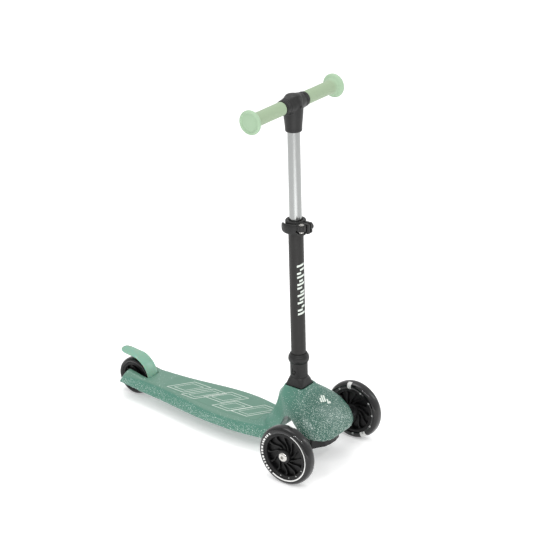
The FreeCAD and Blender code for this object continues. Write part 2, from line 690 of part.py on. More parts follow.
# ---------------------------------------------------------------- handlebar
TEE_BOTTOM = "({bar_height} - {tee_drop})"
ring("upper_tube_body", "{upper_tube_radius}", "{upper_tube_radius} - {upper_tube_wall}",
     "{lower_tube_end} - {height_travel}", "{bar_height} - {crossbar_radius} - 2", "upper_tube", stem)
tee_stalk = turned("tee_stalk", [
    ("0", TEE_BOTTOM), ("{tee_radius} - 2.5", TEE_BOTTOM), ("{tee_radius} - 1.8", TEE_BOTTOM + " + 2"),
    ("{tee_radius} - 0.2", "{bar_height} - 27"), ("{tee_radius} + 1", "{bar_height} - 12"),
    ("{tee_radius} + 1", "{bar_height} + 2"), ("{tee_radius} - 4", "{bar_height} + {tee_radius} - 3"),
    ("0", "{bar_height} + {tee_radius} + 1"),
])
tee_sleeve = rod("tee_sleeve", "{grip_radius} + 2.5", "2 * ({grip_start} - 11)",
                 aimed(FreeCAD.Vector(-size("grip_start") + 11, 0, size("bar_height")), X))
tee_bore = rod("tee_bore", "{crossbar_radius} + {running_gap}", "100",
               aimed(FreeCAD.Vector(-50, 0, size("bar_height")), X))
tee_socket = rod("tee_socket", "{upper_tube_radius} + {running_gap}", "{tee_drop} - {crossbar_radius} - 2",
                 aimed(FreeCAD.Vector(0, 0, number(TEE_BOTTOM))))
plug_height = size("bar_height") - 4
PLUG_AIM = -Y
plug_way = rod("tee_plug_way", "3.5", "10",
               aimed(PLUG_AIM * (size("tee_radius") - 1) + Z * plug_height, PLUG_AIM))
tee = trimmed("handle_tee_shape", joined("tee_solid", tee_stalk, tee_sleeve), tee_bore, tee_socket, plug_way)
tee.Placement = stem
keep(tee, "handle_tee")

bar_centre = FreeCAD.Vector(0, 0, size("bar_height"))
ring("crossbar_body", "{crossbar_radius}", "{crossbar_radius} - {crossbar_wall}",
     "-{bar_width} / 2 + {flange_thickness} - 2", "{bar_width} / 2 - {flange_thickness} + 2",
     "crossbar", on_stem(bar_centre, X))
collars = []
for side, tag in ((1, "left"), (-1, "right")):
    along_bar = on_stem(bar_centre, X * side)
    grip = turned(f"grip_{tag}_body", [
        ("{crossbar_radius} + {running_gap}", "{grip_start}"), ("{grip_radius} - 0.6", "{grip_start}"),
        ("{grip_radius}", "{grip_start} + 3"), ("{grip_radius}", "{bar_width} / 2 - {flange_thickness} - 2"),
        ("{flange_radius} - 2", "{bar_width} / 2 - {flange_thickness}"),
        ("{flange_radius}", "{bar_width} / 2 - {flange_thickness} + 2"),
        ("{flange_radius}", "{bar_width} / 2 - 2"),
        ("{flange_radius} - 2", "{bar_width} / 2"), ("{flange_radius} - 4", "{bar_width} / 2"),
        ("{flange_radius} - 5", "{bar_width} / 2 - 0.8"), ("0", "{bar_width} / 2 - 0.8"),
        ("0", "{bar_width} / 2 - {flange_thickness} + 2"),
        ("{crossbar_radius} + {running_gap}", "{bar_width} / 2 - {flange_thickness} + 2"),
    ])
    grip.Placement = along_bar
    keep(grip, f"grip_{tag}")
    collars.append(ring(f"bar_collar_{tag}", "{grip_radius} + 1.5", "{crossbar_radius} + {running_gap}",
                        "{grip_start} - 11", "{grip_start}"))
    collars[-1].Placement = along_bar
group("bar_collars", *collars)
tee_plug = turned("tee_plug_body", [("0", "{tee_radius} - 1"), ("3.5", "{tee_radius} - 1"),
                                    ("3.5", "{tee_radius} + 1.4"), ("2", "{tee_radius} + 2.4"),
                                    ("0", "{tee_radius} + 2.4")])
tee_plug.Placement = on_stem(FreeCAD.Vector(0, 0, plug_height), PLUG_AIM)
keep(tee_plug, "tee_plug")

# ---------------------------------------------------------------- lean bracket and its bolts
PIVOT = "{lean_pivot_height}"
bracket_block = joined("bracket_block", *[
    block(f"bracket_step_{index}", (str(-half), FRONT_Y + f" + {first}", "{bracket_bottom}"),
          (str(half), FRONT_Y + f" + {last}", "{bracket_top}"))
    for index, (half, first, last) in enumerate(bracket_steps())])
tunnel = block("bracket_tunnel", ("-15", FRONT_Y + " + 44.5", "{bracket_bottom} - 1"),
               ("15", FRONT_Y + " + {deck_front} - 6.5", "{bracket_top} - 3"))
pivot_way = rod("bracket_pivot_way", "{lean_pivot_radius}", "{deck_front}",
                aimed(FreeCAD.Vector(0, front_y, size("lean_pivot_height")), Y))
head_sink = rod("bracket_head_sink", "{lean_pivot_radius} + 3.5", "38",
                aimed(FreeCAD.Vector(0, front_y, size("lean_pivot_height")), Y))
pin_way = rod("bracket_pin_way", "3 + {running_gap}", "40",
              aimed(FreeCAD.Vector(0, front_y + size("steering_arm"), size("bracket_bottom") - 2)))
screw_ways = [rod(f"bracket_screw_way_{index}", "2.5 + {running_gap}", "{deck_front}",
                  aimed(FreeCAD.Vector(side * SCREW_OFFSET, front_y, size("lean_pivot_height")), Y))
              for index, side in enumerate((-1, 1))]
screw_sinks = [rod(f"bracket_screw_sink_{index}", "4.5 + 0.5", "24",
                   aimed(FreeCAD.Vector(side * SCREW_OFFSET, front_y, size("lean_pivot_height")), Y))
               for index, side in enumerate((-1, 1))]
keep(trimmed("pivot_bracket_shape", bracket_block, tunnel, pivot_way, head_sink, pin_way, *screw_ways,
             *screw_sinks),
     "pivot_bracket")

pivot_bolt = turned("lean_pivot_bolt_body", [
    ("0", "{deck_front} - 0.5"), ("0", "33"), ("{lean_pivot_radius} + 3", "33"),
    ("{lean_pivot_radius} + 3", "38"),
    ("{lean_pivot_radius}", "38"), ("{lean_pivot_radius}", "{deck_front} - 0.5"),
])
pivot_bolt.Placement = aimed(FreeCAD.Vector(0, front_y, size("lean_pivot_height")), Y)
keep(pivot_bolt, "lean_pivot_bolt")

screws = []
for index, side in enumerate((-1, 1)):
    screws.append(turned(f"bracket_screw_{index}", [
        ("0", "21"), ("4.5", "21"), ("4.5", "24"), ("2.5", "24"), ("2.5", "{deck_front} + 12"),
        ("0", "{deck_front} + 12"),
    ]))
    screws[-1].Placement = aimed(FreeCAD.Vector(side * SCREW_OFFSET, front_y, size("lean_pivot_height")), Y)
group("bracket_screws", *screws)

keep(rod("steering_pin_shape", "3", "{bracket_top} - {tie_rod_height} + 2.5",
         aimed(FreeCAD.Vector(0, front_y + size("steering_arm"), size("tie_rod_height") - 2.5))),
         "steering_pin")

# ---------------------------------------------------------------- truck that the deck leans on
nose_plan = [("61", "8.5"), ("61", "-6"), ("48", "-10"), ("35", "-17"), ("24", "-25"), ("8", "-28.6"),
             ("-8", "-28.6"), ("-24", "-25"), ("-35", "-17"), ("-48", "-10"), ("-61", "-6"), ("-61", "8.5"),
             ("-41", "14"), ("41", "14")]
nose = slab("truck_nose", "XY_Plane", nose_plan, "{truck_top} - {truck_bottom}", False)
nose.Placement = aimed(FreeCAD.Vector(0, front_y, size("truck_bottom")))
shelf = block("truck_shelf", ("-30", FRONT_Y, "{truck_top} - 8"), ("30", FRONT_Y + " + 26", "{truck_top}"))
neck = block("truck_neck", ("-16", FRONT_Y + " + 20", "{truck_top} - 8"),
             ("16", FRONT_Y + " + 46", "{truck_top}"))
spine = block("truck_spine", ("-8", FRONT_Y + " + 45", "{truck_top} - 8"),
              ("8", FRONT_Y + " + {deck_front} - 7", PIVOT))
hub = rod("truck_hub", "10", "{deck_front} - 52",
          aimed(FreeCAD.Vector(0, front_y + 45, size("lean_pivot_height")), Y))
hub_bore = rod("truck_hub_bore", "{lean_pivot_radius} + {running_gap}", "{deck_front}",
               aimed(FreeCAD.Vector(0, front_y, size("lean_pivot_height")), Y))
pin_slot = block("truck_pin_slot", ("-9", FRONT_Y + " + {steering_arm} - 5", "{truck_bottom}"),
                 ("9", FRONT_Y + " + {steering_arm} + 5", "{truck_top} + 1"))
pockets = []
pins = []
for side, tag in ((1, "left"), (-1, "right")):
    pockets.append(block(f"knuckle_pocket_{tag}",
                         ("41 - " + str((1 - side) * 56), FRONT_Y + " - 9.8", "{front_radius} - 10.3"),
                         ("71 - " + str((1 - side) * 56), FRONT_Y + " + 60", "{front_radius} + 10.3")))
    pin_foot = FreeCAD.Vector(side * size("kingpin_offset"), front_y, size("truck_bottom") - 1)
    pockets.append(rod(f"kingpin_way_{tag}", "{kingpin_radius}", "60", aimed(pin_foot - Z * 10)))
    king = turned(f"kingpin_{tag}", [
        ("0", "0"), ("{kingpin_radius}", "0"), ("{kingpin_radius}", "{truck_top} - {truck_bottom} + 1"),
        ("{kingpin_radius} + 2", "{truck_top} - {truck_bottom} + 1"),
        ("{kingpin_radius} + 2", "{truck_top} - {truck_bottom} + 3"),
        ("0", "{truck_top} - {truck_bottom} + 3"),
    ])
    king.Placement = aimed(pin_foot)
    pins.append(king)
keep(trimmed("truck_housing_shape", joined("truck_solid", nose, shelf, neck, spine, hub), hub_bore, pin_slot,
             *pockets),
     "truck_housing")
group("kingpins", *pins)


def coil(radius, wire, height, turns, base):
    """Round-wire coil spring standing on a point, with its axis up."""
    path = Part.makeHelix((height - wire) / turns, height - wire, radius)
    start = FreeCAD.Vector(radius, 0, 0)
    section = Part.Wire(Part.makeCircle(wire / 2, start, Y))
    spring = Part.Wire(path).makePipeShell([section], True, True)
    spring.translate(base + Z * (wire / 2))
    return spring


springs = doc.addObject("Part::Feature", "lean_springs")
springs.Shape = Part.makeCompound([
    coil(size("spring_radius"), size("spring_wire"), size("bracket_bottom") - size("truck_top") - 0.2, 2.5,
         FreeCAD.Vector(side * 22, front_y + 18, size("truck_top") + 0.1)) for side in (-1, 1)])
keep(springs, "lean_springs")

# ---------------------------------------------------------------- knuckles and tie rod
for side, tag in ((1, "left"), (-1, "right")):
    centre = FreeCAD.Vector(side * size("kingpin_offset"), front_y, size("front_radius"))
    post = rod(f"knuckle_post_{tag}", "9", "20", aimed(centre - Z * 10))
    stub = rod(f"knuckle_stub_{tag}", "7.5", "{track} / 2 - {wheel_width} / 2 - 3 - {kingpin_offset}",
               aimed(centre, X * side))
    arm_centre = centre + Y * size("steering_arm")
    low = FreeCAD.Vector(centre.x - 4.5, centre.y,
                         size("tie_rod_height") + size("tie_rod_thickness") / 2 + 0.5)
    arm = doc.addObject("Part::Box", f"knuckle_arm_{tag}")
    arm.Length = 9
    arm.setExpression("Width", linked("{steering_arm} + 6"))
    arm.Height = 7.5
    arm.Placement = aimed(low)
    way = rod(f"knuckle_way_{tag}", "{kingpin_radius} + {running_gap}", "60", aimed(centre - Z * 30))
    axle_way = rod(f"knuckle_axle_way_{tag}", "{axle_radius}", "60",
                   aimed(centre + X * (side * 11), X * side))
    slot_ends = [rod(f"arm_slot_{tag}_{index}", "2.8", "20", aimed(arm_centre + Y * shift - Z * 8))
                 for index, shift in enumerate((-1.2, 0, 1.2))]
    keep(trimmed(f"knuckle_{tag}_shape", joined(f"knuckle_{tag}_solid", post, stub, arm), way, axle_way,
                 *slot_ends), f"knuckle_{tag}")

rod_bar = block("tie_rod_bar", ("-{kingpin_offset} - 6", FRONT_Y + " + {steering_arm} - 6",
                                "{tie_rod_height} - {tie_rod_thickness} / 2"),
                ("{kingpin_offset} + 6", FRONT_Y + " + {steering_arm} + 6",
                 "{tie_rod_height} + {tie_rod_thickness} / 2"))
studs = [rod(f"tie_rod_stud_{index}", "2.5", "{tie_rod_thickness} + 8",
             aimed(FreeCAD.Vector(side * size("kingpin_offset"), front_y + size("steering_arm"),
                                  size("tie_rod_height") - size("tie_rod_thickness") / 2)))
         for index, side in enumerate((-1, 1))]
pin_hole = rod("tie_rod_pin_hole", "3.9", "20",
               aimed(FreeCAD.Vector(0, front_y + size("steering_arm"), size("tie_rod_height") - 10)))
keep(trimmed("tie_rod_shape", joined("tie_rod_solid", rod_bar, *studs), pin_hole), "tie_rod")

# ---------------------------------------------------------------- rear brake
pin_place = aimed(FreeCAD.Vector(0, rear_y - size("brake_setback"), size("brake_pin_height")), X)
PIN_HALF = f"({{fork_slot}} + {PIN_SEAT})"
brake_pin = turned("brake_pin_body", [("0", f"-{PIN_HALF}"), ("{brake_pin_radius}", f"-{PIN_HALF}"),
                                      ("{brake_pin_radius}", PIN_HALF), ("0", PIN_HALF)])
brake_pin.Placement = pin_place
keep(brake_pin, "brake_pin")

FENDER_REACH = "89.5"
# side profile of the fender, (rearward from the pin, up from the pin): outer face, tip, inner face, foot
fender_profile = [
    ("6.8", "5.2"), ("6.8", "8.5"), ("10.5", "20"), ("16.2", "29.4"), ("21.5", "35.2"), ("27.4", "40"),
    ("35.5", "44.6"), ("44.3", "47.5"), ("60.7", "48.8"), ("72", "50"), ("82", "51.6"), (FENDER_REACH, "53.2"),
    (FENDER_REACH, "50"), ("82", "47.8"), ("72", "45.8"), ("59.9", "44.5"), ("45", "43.3"), ("36.4", "40.6"),
    ("29.4", "36.4"), ("24", "31.9"), ("19.2", "26.7"), ("14", "18.2"), ("10.9", "7"), ("10.1", "2"),
    ("3.5", "-3.5"), ("0", "0"), ("3.2", "3.8"),
]
fender_place = FreeCAD.Placement(FreeCAD.Vector(0, rear_y - size("brake_setback"), size("brake_pin_height")),
                                 FreeCAD.Rotation())
fender_plate = slab("fender_plate", "YZ_Plane", fender_profile, "2 * {brake_half_width}")
tip_round = joined("fender_tip_round", block("fender_tip_box", ("-{brake_half_width}", "-10", "-10"),
                                             ("{brake_half_width}", FENDER_REACH + " - {brake_half_width}",
                                              "60")),
                   rod("fender_tip_rod", "{brake_half_width}", "60",
                       aimed(FreeCAD.Vector(0, number(FENDER_REACH) - size("brake_half_width"), 0))))
fender_rounded = doc.addObject("Part::Common", "fender_rounded")
fender_rounded.Base = fender_plate
fender_rounded.Tool = tip_round
eye_rod = rod("fender_eye", "5", "2 * {brake_half_width}",
              aimed(FreeCAD.Vector(-size("brake_half_width"), 0, 0), X))
spring_rooms = [block(f"spring_room_{index}", (first, "-8", "-8"), (last, "5.8", "8"))
                for index, (first, last) in enumerate((("-12", "-6"), ("6", "12")))]
fender_bore = rod("fender_bore", "{brake_pin_radius} + {running_gap}", "60",
                  aimed(FreeCAD.Vector(-30, 0, 0), X))
fender = trimmed("brake_fender_shape", joined("fender_solid", fender_rounded, eye_rod), *spring_rooms,
                 fender_bore)
fender.Placement = fender_place
keep(fender, "brake_fender")

brake_springs = doc.addObject("Part::Feature", "brake_springs")
coils = []
for side in (-1, 1):
    turn = coil(3.6, 0.8, 5.0, 2.5, FreeCAD.Vector(0, 0, 0))
    turn.Placement = FreeCAD.Placement(fender_place.Base + X * (6.5 if side > 0 else -11.5),
                                       FreeCAD.Rotation(Z, X)).multiply(turn.Placement)
    coils.append(turn)
brake_springs.Shape = Part.makeCompound(coils)
keep(brake_springs, "brake_springs")

# ---------------------------------------------------------------- check and export
doc.recompute()
for thing in doc.Objects:
    if "Invalid" in thing.State or "Error" in thing.State:
        sys.exit(f"{thing.Label} failed: {thing.State}")
os.makedirs("parts", exist_ok=True)
for part in parts:
    shape = part.Shape
    if shape.isNull() or not shape.isValid() or not shape.Solids:
        sys.exit(f"{part.Label} has no valid solid")
    print(f"{part.Label:24s} solids {len(shape.Solids)} volume {shape.Volume:10.1f}")
    shape.exportStep(f"parts/{part.Label}.step")
print(len(parts), "nodes")
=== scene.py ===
import json
import math

import bmesh
import bpy
from mathutils import Matrix, Vector


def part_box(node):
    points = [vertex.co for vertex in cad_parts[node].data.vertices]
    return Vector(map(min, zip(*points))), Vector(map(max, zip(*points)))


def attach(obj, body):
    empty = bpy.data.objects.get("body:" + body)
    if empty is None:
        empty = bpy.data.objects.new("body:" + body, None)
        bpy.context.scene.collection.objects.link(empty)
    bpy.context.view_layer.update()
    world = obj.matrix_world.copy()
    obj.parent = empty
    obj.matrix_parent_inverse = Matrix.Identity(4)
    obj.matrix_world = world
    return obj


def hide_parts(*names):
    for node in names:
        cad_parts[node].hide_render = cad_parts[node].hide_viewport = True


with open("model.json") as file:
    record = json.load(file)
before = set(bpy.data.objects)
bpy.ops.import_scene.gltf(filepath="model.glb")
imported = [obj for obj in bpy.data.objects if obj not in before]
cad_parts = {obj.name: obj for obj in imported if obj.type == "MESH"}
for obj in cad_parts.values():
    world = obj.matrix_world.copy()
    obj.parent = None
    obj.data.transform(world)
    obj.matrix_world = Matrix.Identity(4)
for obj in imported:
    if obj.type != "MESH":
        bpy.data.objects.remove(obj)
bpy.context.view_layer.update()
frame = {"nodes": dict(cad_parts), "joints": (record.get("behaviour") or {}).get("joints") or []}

# Child's three-wheel kick scooter.  Metres; forward is -Y, up is +Z, the rider's left is +X.
MM = 0.001
scene = bpy.context.scene
X = Vector((1, 0, 0))
Y = Vector((0, 1, 0))
Z = Vector((0, 0, 1))
# degrees between two faces from which their edge stays sharp
SHARP, FINE_SHARP, MELTED_SHARP = 35, 30, 60


# ---------------------------------------------------------------- places taken from the frame
def middle(node):
    """Middle of a CAD node's box."""
    low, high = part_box(node)
    return (low + high) / 2


def basis(across, along, up, origin):
    """Matrix of a local frame from its three axes and its origin."""
    matrix = Matrix((across, along, up)).transposed().to_4x4()
    matrix.translation = origin
    return matrix


JOINTS = {joint["name"]: joint for joint in frame["joints"]}
STEM_AXIS = Vector(JOINTS["height_slide"]["axis"]).normalized()
TUBE_MIDDLE = 143.5 * MM  # from the foot of the stem to the middle of the lower tube
STEM_FOOT = middle("lower_tube") - STEM_AXIS * TUBE_MIDDLE
STEM = basis(X, STEM_AXIS.cross(X), STEM_AXIS, STEM_FOOT)
FRONT_Y = middle("wheel_core_front_left").y


def on_stem(x, y, z, turn=None):
    """Place in the stem's own frame, in millimetres."""
    place = STEM @ Matrix.Translation(Vector((x, y, z)) * MM)
    return place @ turn if turn else place


# ---------------------------------------------------------------- mesh helpers, millimetres in
def finish_mesh(bm, name, place, sharp):
    """Object from a bmesh, smooth apart from its sharp edges."""
    bmesh.ops.recalc_face_normals(bm, faces=bm.faces)
    mesh = bpy.data.meshes.new(name)
    bm.to_mesh(mesh)
    bm.free()
    mesh.shade_smooth()
    mesh.set_sharp_from_angle(angle=math.radians(sharp))
    piece = bpy.data.objects.new(name, mesh)
    scene.collection.objects.link(piece)
    piece.matrix_world = place
    bpy.context.view_layer.update()
    return piece


def bridge(bm, one, other):
    """Faces between two rings, either of which may be a single point."""
    count = max(len(one), len(other))
    for index in range(count):
        after = (index + 1) % count
        corners = [one[index % len(one)], one[after % len(one)],
                   other[after % len(other)], other[index % len(other)]]
        unique = []
        for corner in corners:
            if corner not in unique:
                unique.append(corner)
        if len(unique) > 2:
            bm.faces.new(unique)


def lathe(name, profile, place, segments=96, closed=False):
    """Turned piece about local Z from (radius, height) points; a closed profile makes a ring."""
    bm = bmesh.new()
    rings = []
    for radius, height in profile:
        if radius < 1e-6:
            rings.append([bm.verts.new((0, 0, height * MM))])
            continue
        rings.append([bm.verts.new((radius * MM * math.cos(2 * math.pi * k / segments),
                                    radius * MM * math.sin(2 * math.pi * k / segments), height * MM))
                      for k in range(segments)])
    for one, other in zip(rings, rings[1:] + ([rings[0]] if closed else [])):
        bridge(bm, one, other)
    return finish_mesh(bm, name, place, SHARP)


def loft(name, sections, place=Matrix(), sharp=SHARP):
    """Skin with flat ends through sections of equal point count."""
    bm = bmesh.new()
    rings = [[bm.verts.new(Vector(point) * MM) for point in section] for section in sections]
    for one, other in zip(rings, rings[1:]):
        bridge(bm, one, other)
    bm.faces.new(rings[0])
    bm.faces.new(rings[-1])
    return finish_mesh(bm, name, place, sharp)


def rect(left, bottom, right, top):
    """Corners of a rectangle."""
    return [(left, bottom), (right, bottom), (right, top), (left, top)]


def stacked(outline, *heights):
    """Sections with one outline at several heights."""
    return [[(x, y, height) for x, y in outline] for height in heights]


def rounded(corners, radius, steps=5):
    """Corners of a closed outline replaced by short curves."""
    result = []
    count = len(corners)
    for index, corner in enumerate(corners):
        here = Vector(corner)
        before = Vector(corners[index - 1])
        after = Vector(corners[(index + 1) % count])
        reach = min(radius, (before - here).length * 0.49, (after - here).length * 0.49)
        start = here + (before - here).normalized() * reach
        end = here + (after - here).normalized() * reach
        for step in range(steps + 1):
            t = step / steps
            result.append(tuple(start * (1 - t) ** 2 + here * 2 * t * (1 - t) + end * t ** 2))
    return result


def flowing(points, steps):
    """Smooth open curve through points."""
    vectors = [Vector(point) for point in points]
    last = len(vectors) - 1
    result = []
    for index in range(last):
        a, b, c, d = (vectors[min(max(k, 0), last)] for k in range(index - 1, index + 3))
        for step in range(steps):
            t = step / steps
            result.append(0.5 * ((2 * b) + (c - a) * t + (2 * a - 5 * b + 4 * c - d) * t ** 2
                                 + (3 * b - a - 3 * c + d) * t ** 3))
    result.append(vectors[-1])
    return result


def squircle(half_x, half_y, power, count=64):
    """Closed squared ellipse in the XY plane."""
    points = []
    for k in range(count):
        angle = 2 * math.pi * (k + 0.5) / count
        c, s = math.cos(angle), math.sin(angle)
        points.append((math.copysign(abs(c) ** (2 / power), c) * half_x,
                       math.copysign(abs(s) ** (2 / power), s) * half_y))
    return points


def applied(piece):
    """Mesh with its modifiers applied."""
    graph = bpy.context.evaluated_depsgraph_get()
    mesh = bpy.data.meshes.new_from_object(piece.evaluated_get(graph), depsgraph=graph)
    piece.modifiers.clear()
    old = piece.data
    piece.data = mesh
    mesh.name = piece.name
    bpy.data.meshes.remove(old)
    return piece


def cut(piece, *cutters, sharp=SHARP):
    """Takes the cutters out of a piece and removes them."""
    for cutter in cutters:
        modifier = piece.modifiers.new("cut", "BOOLEAN")
        modifier.object = cutter
        modifier.operation = "DIFFERENCE"
        modifier.solver = "EXACT"
        applied(piece)
        bpy.data.objects.remove(cutter)
    piece.data.shade_smooth()
    piece.data.set_sharp_from_angle(angle=math.radians(sharp))
    return piece


def melted(piece, voxel, rounds):
    """Piece remeshed evenly and smoothed, so that its edges and joins become round."""
    remesh = piece.modifiers.new("remesh", "REMESH")
    remesh.mode = "VOXEL"
    remesh.voxel_size = voxel * MM
    smooth = piece.modifiers.new("smooth", "SMOOTH")
    smooth.factor = 0.5
    smooth.iterations = rounds
    applied(piece)
    piece.data.shade_smooth()
    piece.data.set_sharp_from_angle(angle=math.radians(MELTED_SHARP))
    return piece


def copied(name, node):
    """New mesh with the form of a CAD node, its seams welded."""
    bm = bmesh.new()
    bm.from_mesh(frame["nodes"][node].data)
    bmesh.ops.remove_doubles(bm, verts=bm.verts, dist=1e-6)
    return finish_mesh(bm, name, Matrix(), FINE_SHARP)


def merged(name, *pieces):
    """Several meshes as one object, in world space."""
    bm = bmesh.new()
    for piece in pieces:
        mesh = piece.data.copy()
        mesh.transform(piece.matrix_world)
        bm.from_mesh(mesh)
        bpy.data.meshes.remove(mesh)
        bpy.data.objects.remove(piece)
    return finish_mesh(bm, name, Matrix(), SHARP)


# ---------------------------------------------------------------- materials
def rgb(red, green, blue):
    """Linear colour from an sRGB one."""
    return tuple(((v / 255 + 0.055) / 1.055) ** 2.4 if v > 10 else v / 255 / 12.92
                 for v in (red, green, blue)) + (1,)


class Paint:
    """Node material with a Principled shader and short names for its parts."""

    def __init__(self, name, **sockets):
        self.material = bpy.data.materials.new(name)
        self.material.use_nodes = True
        self.tree = self.material.node_tree
        self.shader = self.tree.nodes["Principled BSDF"]
        self.coords = self.tree.nodes.new("ShaderNodeTexCoord").outputs["Object"]
        for key, value in sockets.items():
            self.shader.inputs[key.replace("_", " ")].default_value = value

    def node(self, kind, inputs=None, **settings):
        made = self.tree.nodes.new("ShaderNode" + kind)
        for key, value in settings.items():
            setattr(made, key, value)
        for key, value in (inputs or {}).items():
            self.put(made.inputs[key], value)
        return made

    def put(self, socket, value):
        if isinstance(value, bpy.types.NodeSocket):
            self.tree.links.new(value, socket)
        else:
            socket.default_value = value

    def maths(self, operation, *values):
        made = self.node("Math", operation=operation)
        for socket, value in zip(made.inputs, values):
            self.put(socket, value)
        return made.outputs[0]

    def ramp(self, value, low, high, start=0.0, end=1.0):
        made = self.node("MapRange", {"Value": value, "From Min": low, "From Max": high,
                                      "To Min": start, "To Max": end})
        return made.outputs["Result"]

    def noise(self, size, detail=3.0, rough=0.55, stretch=(1, 1, 1)):
        """Cloudy noise with features of about that size in millimetres."""
        place = self.node("Mapping", {"Vector": self.coords, "Scale": stretch})
        made = self.node("TexNoise", {"Vector": place.outputs[0], "Scale": 1 / (size * MM),
                                      "Detail": detail, "Roughness": rough})
        return made.outputs["Fac"]

    def cells(self, size):
        """Scattered cells of about that size: distance to each one's middle, and a colour each."""
        made = self.node("TexVoronoi", {"Vector": self.coords, "Scale": 1 / (size * MM),
                                        "Randomness": 1.0})
        return made.outputs["Distance"], made.outputs["Color"]

    def axis(self, name):
        """Local coordinate in metres."""
        return self.node("SeparateXYZ", {"Vector": self.coords}).outputs[name]

    def within(self, value, centre, half):
        """1 where the value is less than half away from the centre, else 0."""
        away = self.maths("ABSOLUTE", self.maths("SUBTRACT", value, centre))
        return self.maths("LESS_THAN", away, half)

    def all_of(self, first, *others):
        """Product of several values."""
        for value in others:
            first = self.maths("MULTIPLY", first, value)
        return first

    def mix(self, share, one, other):
        made = self.node("Mix", data_type="RGBA")
        self.put(made.inputs["Factor"], share)
        self.put(made.inputs["A"], one)
        self.put(made.inputs["B"], other)
        return made.outputs["Result"]

    def colour(self, value):
        self.put(self.shader.inputs["Base Color"], value)

    def rough(self, value):
        self.put(self.shader.inputs["Roughness"], value)

    def bump(self, height, depth, strength=1.0):
        """Relief of that depth in millimetres."""
        made = self.node("Bump", {"Height": height, "Strength": strength, "Distance": depth * MM})
        before = self.shader.inputs["Normal"]
        if before.links:
            self.tree.links.new(before.links[0].from_socket, made.inputs["Normal"])
        self.tree.links.new(made.outputs[0], before)


def shaded(paint, base, spread, size=30):
    """Slow variation of a colour between two close tones."""
    darker = tuple(v * (1 - spread) for v in base[:3]) + (1,)
    lighter = tuple(min(1, v * (1 + spread)) for v in base[:3]) + (1,)
    return paint.mix(paint.noise(size), darker, lighter)


# painted light: the lighter green of the deck's top, as lit from above
LIT_TOP_GREEN = rgb(94, 133, 116)
DULL = {"Specular_IOR_Level": 0.35}


def glitter_paint():
    """Green plastic with glitter and painted light: pale flecks as painted glint, dense on the
    hood's front and the deck's flanks, few on top; painted shade darkens the hood's front, painted
    light makes the deck's top lighter.
    """
    paint = Paint("glitter_green", Roughness=0.36, Coat_Weight=0.25, Coat_Roughness=0.18)
    base = shaded(paint, rgb(73, 125, 108), 0.08, 22)
    along, high = paint.axis("Y"), paint.axis("Z")
    front = paint.ramp(along, FRONT_Y + 0.065, FRONT_Y + 0.005, 0.0, 0.8)
    flank = paint.ramp(high, 0.0515, 0.045, 0.0, 1.0)
    low = paint.maths("MULTIPLY", front, paint.ramp(high, 0.112, 0.085, 0.0, 1.2))
    # painted shade: the hood's front is made a darker green
    base = paint.mix(front, base, rgb(42, 82, 70))
    # painted light: the deck's top is made lighter, in the same green as the film
    lit_deck_top = paint.maths("MULTIPLY", paint.ramp(high, 0.0500, 0.0522, 0.0, 1.0),
                           paint.ramp(along, -0.11, -0.05, 0.0, 1.0))
    base = paint.mix(lit_deck_top, base, LIT_TOP_GREEN)
    # painted glint: the flecks are spread dense where their glint showed, on the hood's front and
    # the deck's flanks
    dense = paint.maths("MAXIMUM", paint.maths("ADD", front, low), flank)
    dense = paint.maths("MAXIMUM", dense, 0.12)
    cloud = paint.ramp(paint.noise(16, 2.0), 0.3, 0.7, 0.65, 1.15)
    dense = paint.maths("MULTIPLY", dense, cloud)
    # flecks of three sizes: cell in millimetres, share of cells that glint, reach in the cell
    glint_specks = None
    for size, share, width in ((2.6, 0.2, 0.24), (1.8, 0.38, 0.26), (1.2, 0.4, 0.28)):
        distance, colour = paint.cells(size)
        lot = paint.node("SeparateColor", {"Color": colour}).outputs["Red"]
        chosen = paint.maths("LESS_THAN", lot, paint.maths("MULTIPLY", dense, share))
        near = paint.maths("LESS_THAN", distance, width)
        layer = paint.maths("MULTIPLY", chosen, near)
        glint_specks = layer if glint_specks is None else paint.maths("MAXIMUM", glint_specks, layer)
    # painted glint: the flecks are real glitter, painted in a pale colour that stands for their
    # glint
    paint.colour(paint.mix(glint_specks, base, rgb(214, 230, 222)))
    paint.rough(paint.ramp(glint_specks, 0.0, 1.0, 0.38, 0.2))
    paint.bump(paint.noise(0.9, 2.0), 0.03, 0.5)
    paint.bump(glint_specks, 0.05, 0.4)
    return paint.material


def film_paint():
    """Satin anti-slip film on the deck, in the lighter green painted as light on the deck's top."""
    paint = Paint("deck_film", Roughness=0.5, Coat_Weight=0.1)
    paint.colour(shaded(paint, LIT_TOP_GREEN, 0.08, 22))
    paint.bump(paint.noise(0.8, 3.0), 0.04, 0.6)
    return paint.material


def plain_paint(name, tone, rough, grain=0.35, depth=0.02, spread=0.08, **sockets):
    """Moulded or coated finish: slow tone changes, fine grain and uneven gloss."""
    paint = Paint(name, **sockets)
    paint.colour(shaded(paint, tone, spread, 14))
    paint.rough(paint.ramp(paint.noise(5.0, 3.0), 0.3, 0.7, rough - 0.06, rough + 0.06))
    paint.bump(paint.noise(grain, 2.0), depth, 0.7)
    return paint.material


def grip_paint():
    """Soft mint rubber, paler on the flanges."""
    paint = Paint("mint_grip", Sheen_Weight=0.12)
    flange = paint.ramp(paint.axis("Z"), 0.114, 0.1235)
    base = paint.mix(flange, rgb(144, 164, 134), rgb(156, 183, 153))
    paint.colour(paint.mix(paint.noise(14, 3.0), paint.mix(0.06, base, rgb(90, 120, 90)), base))
    paint.rough(paint.ramp(paint.noise(5.0, 3.0), 0.3, 0.7, 0.56, 0.68))
    paint.bump(paint.noise(0.3, 2.0), 0.02, 0.7)
    return paint.material


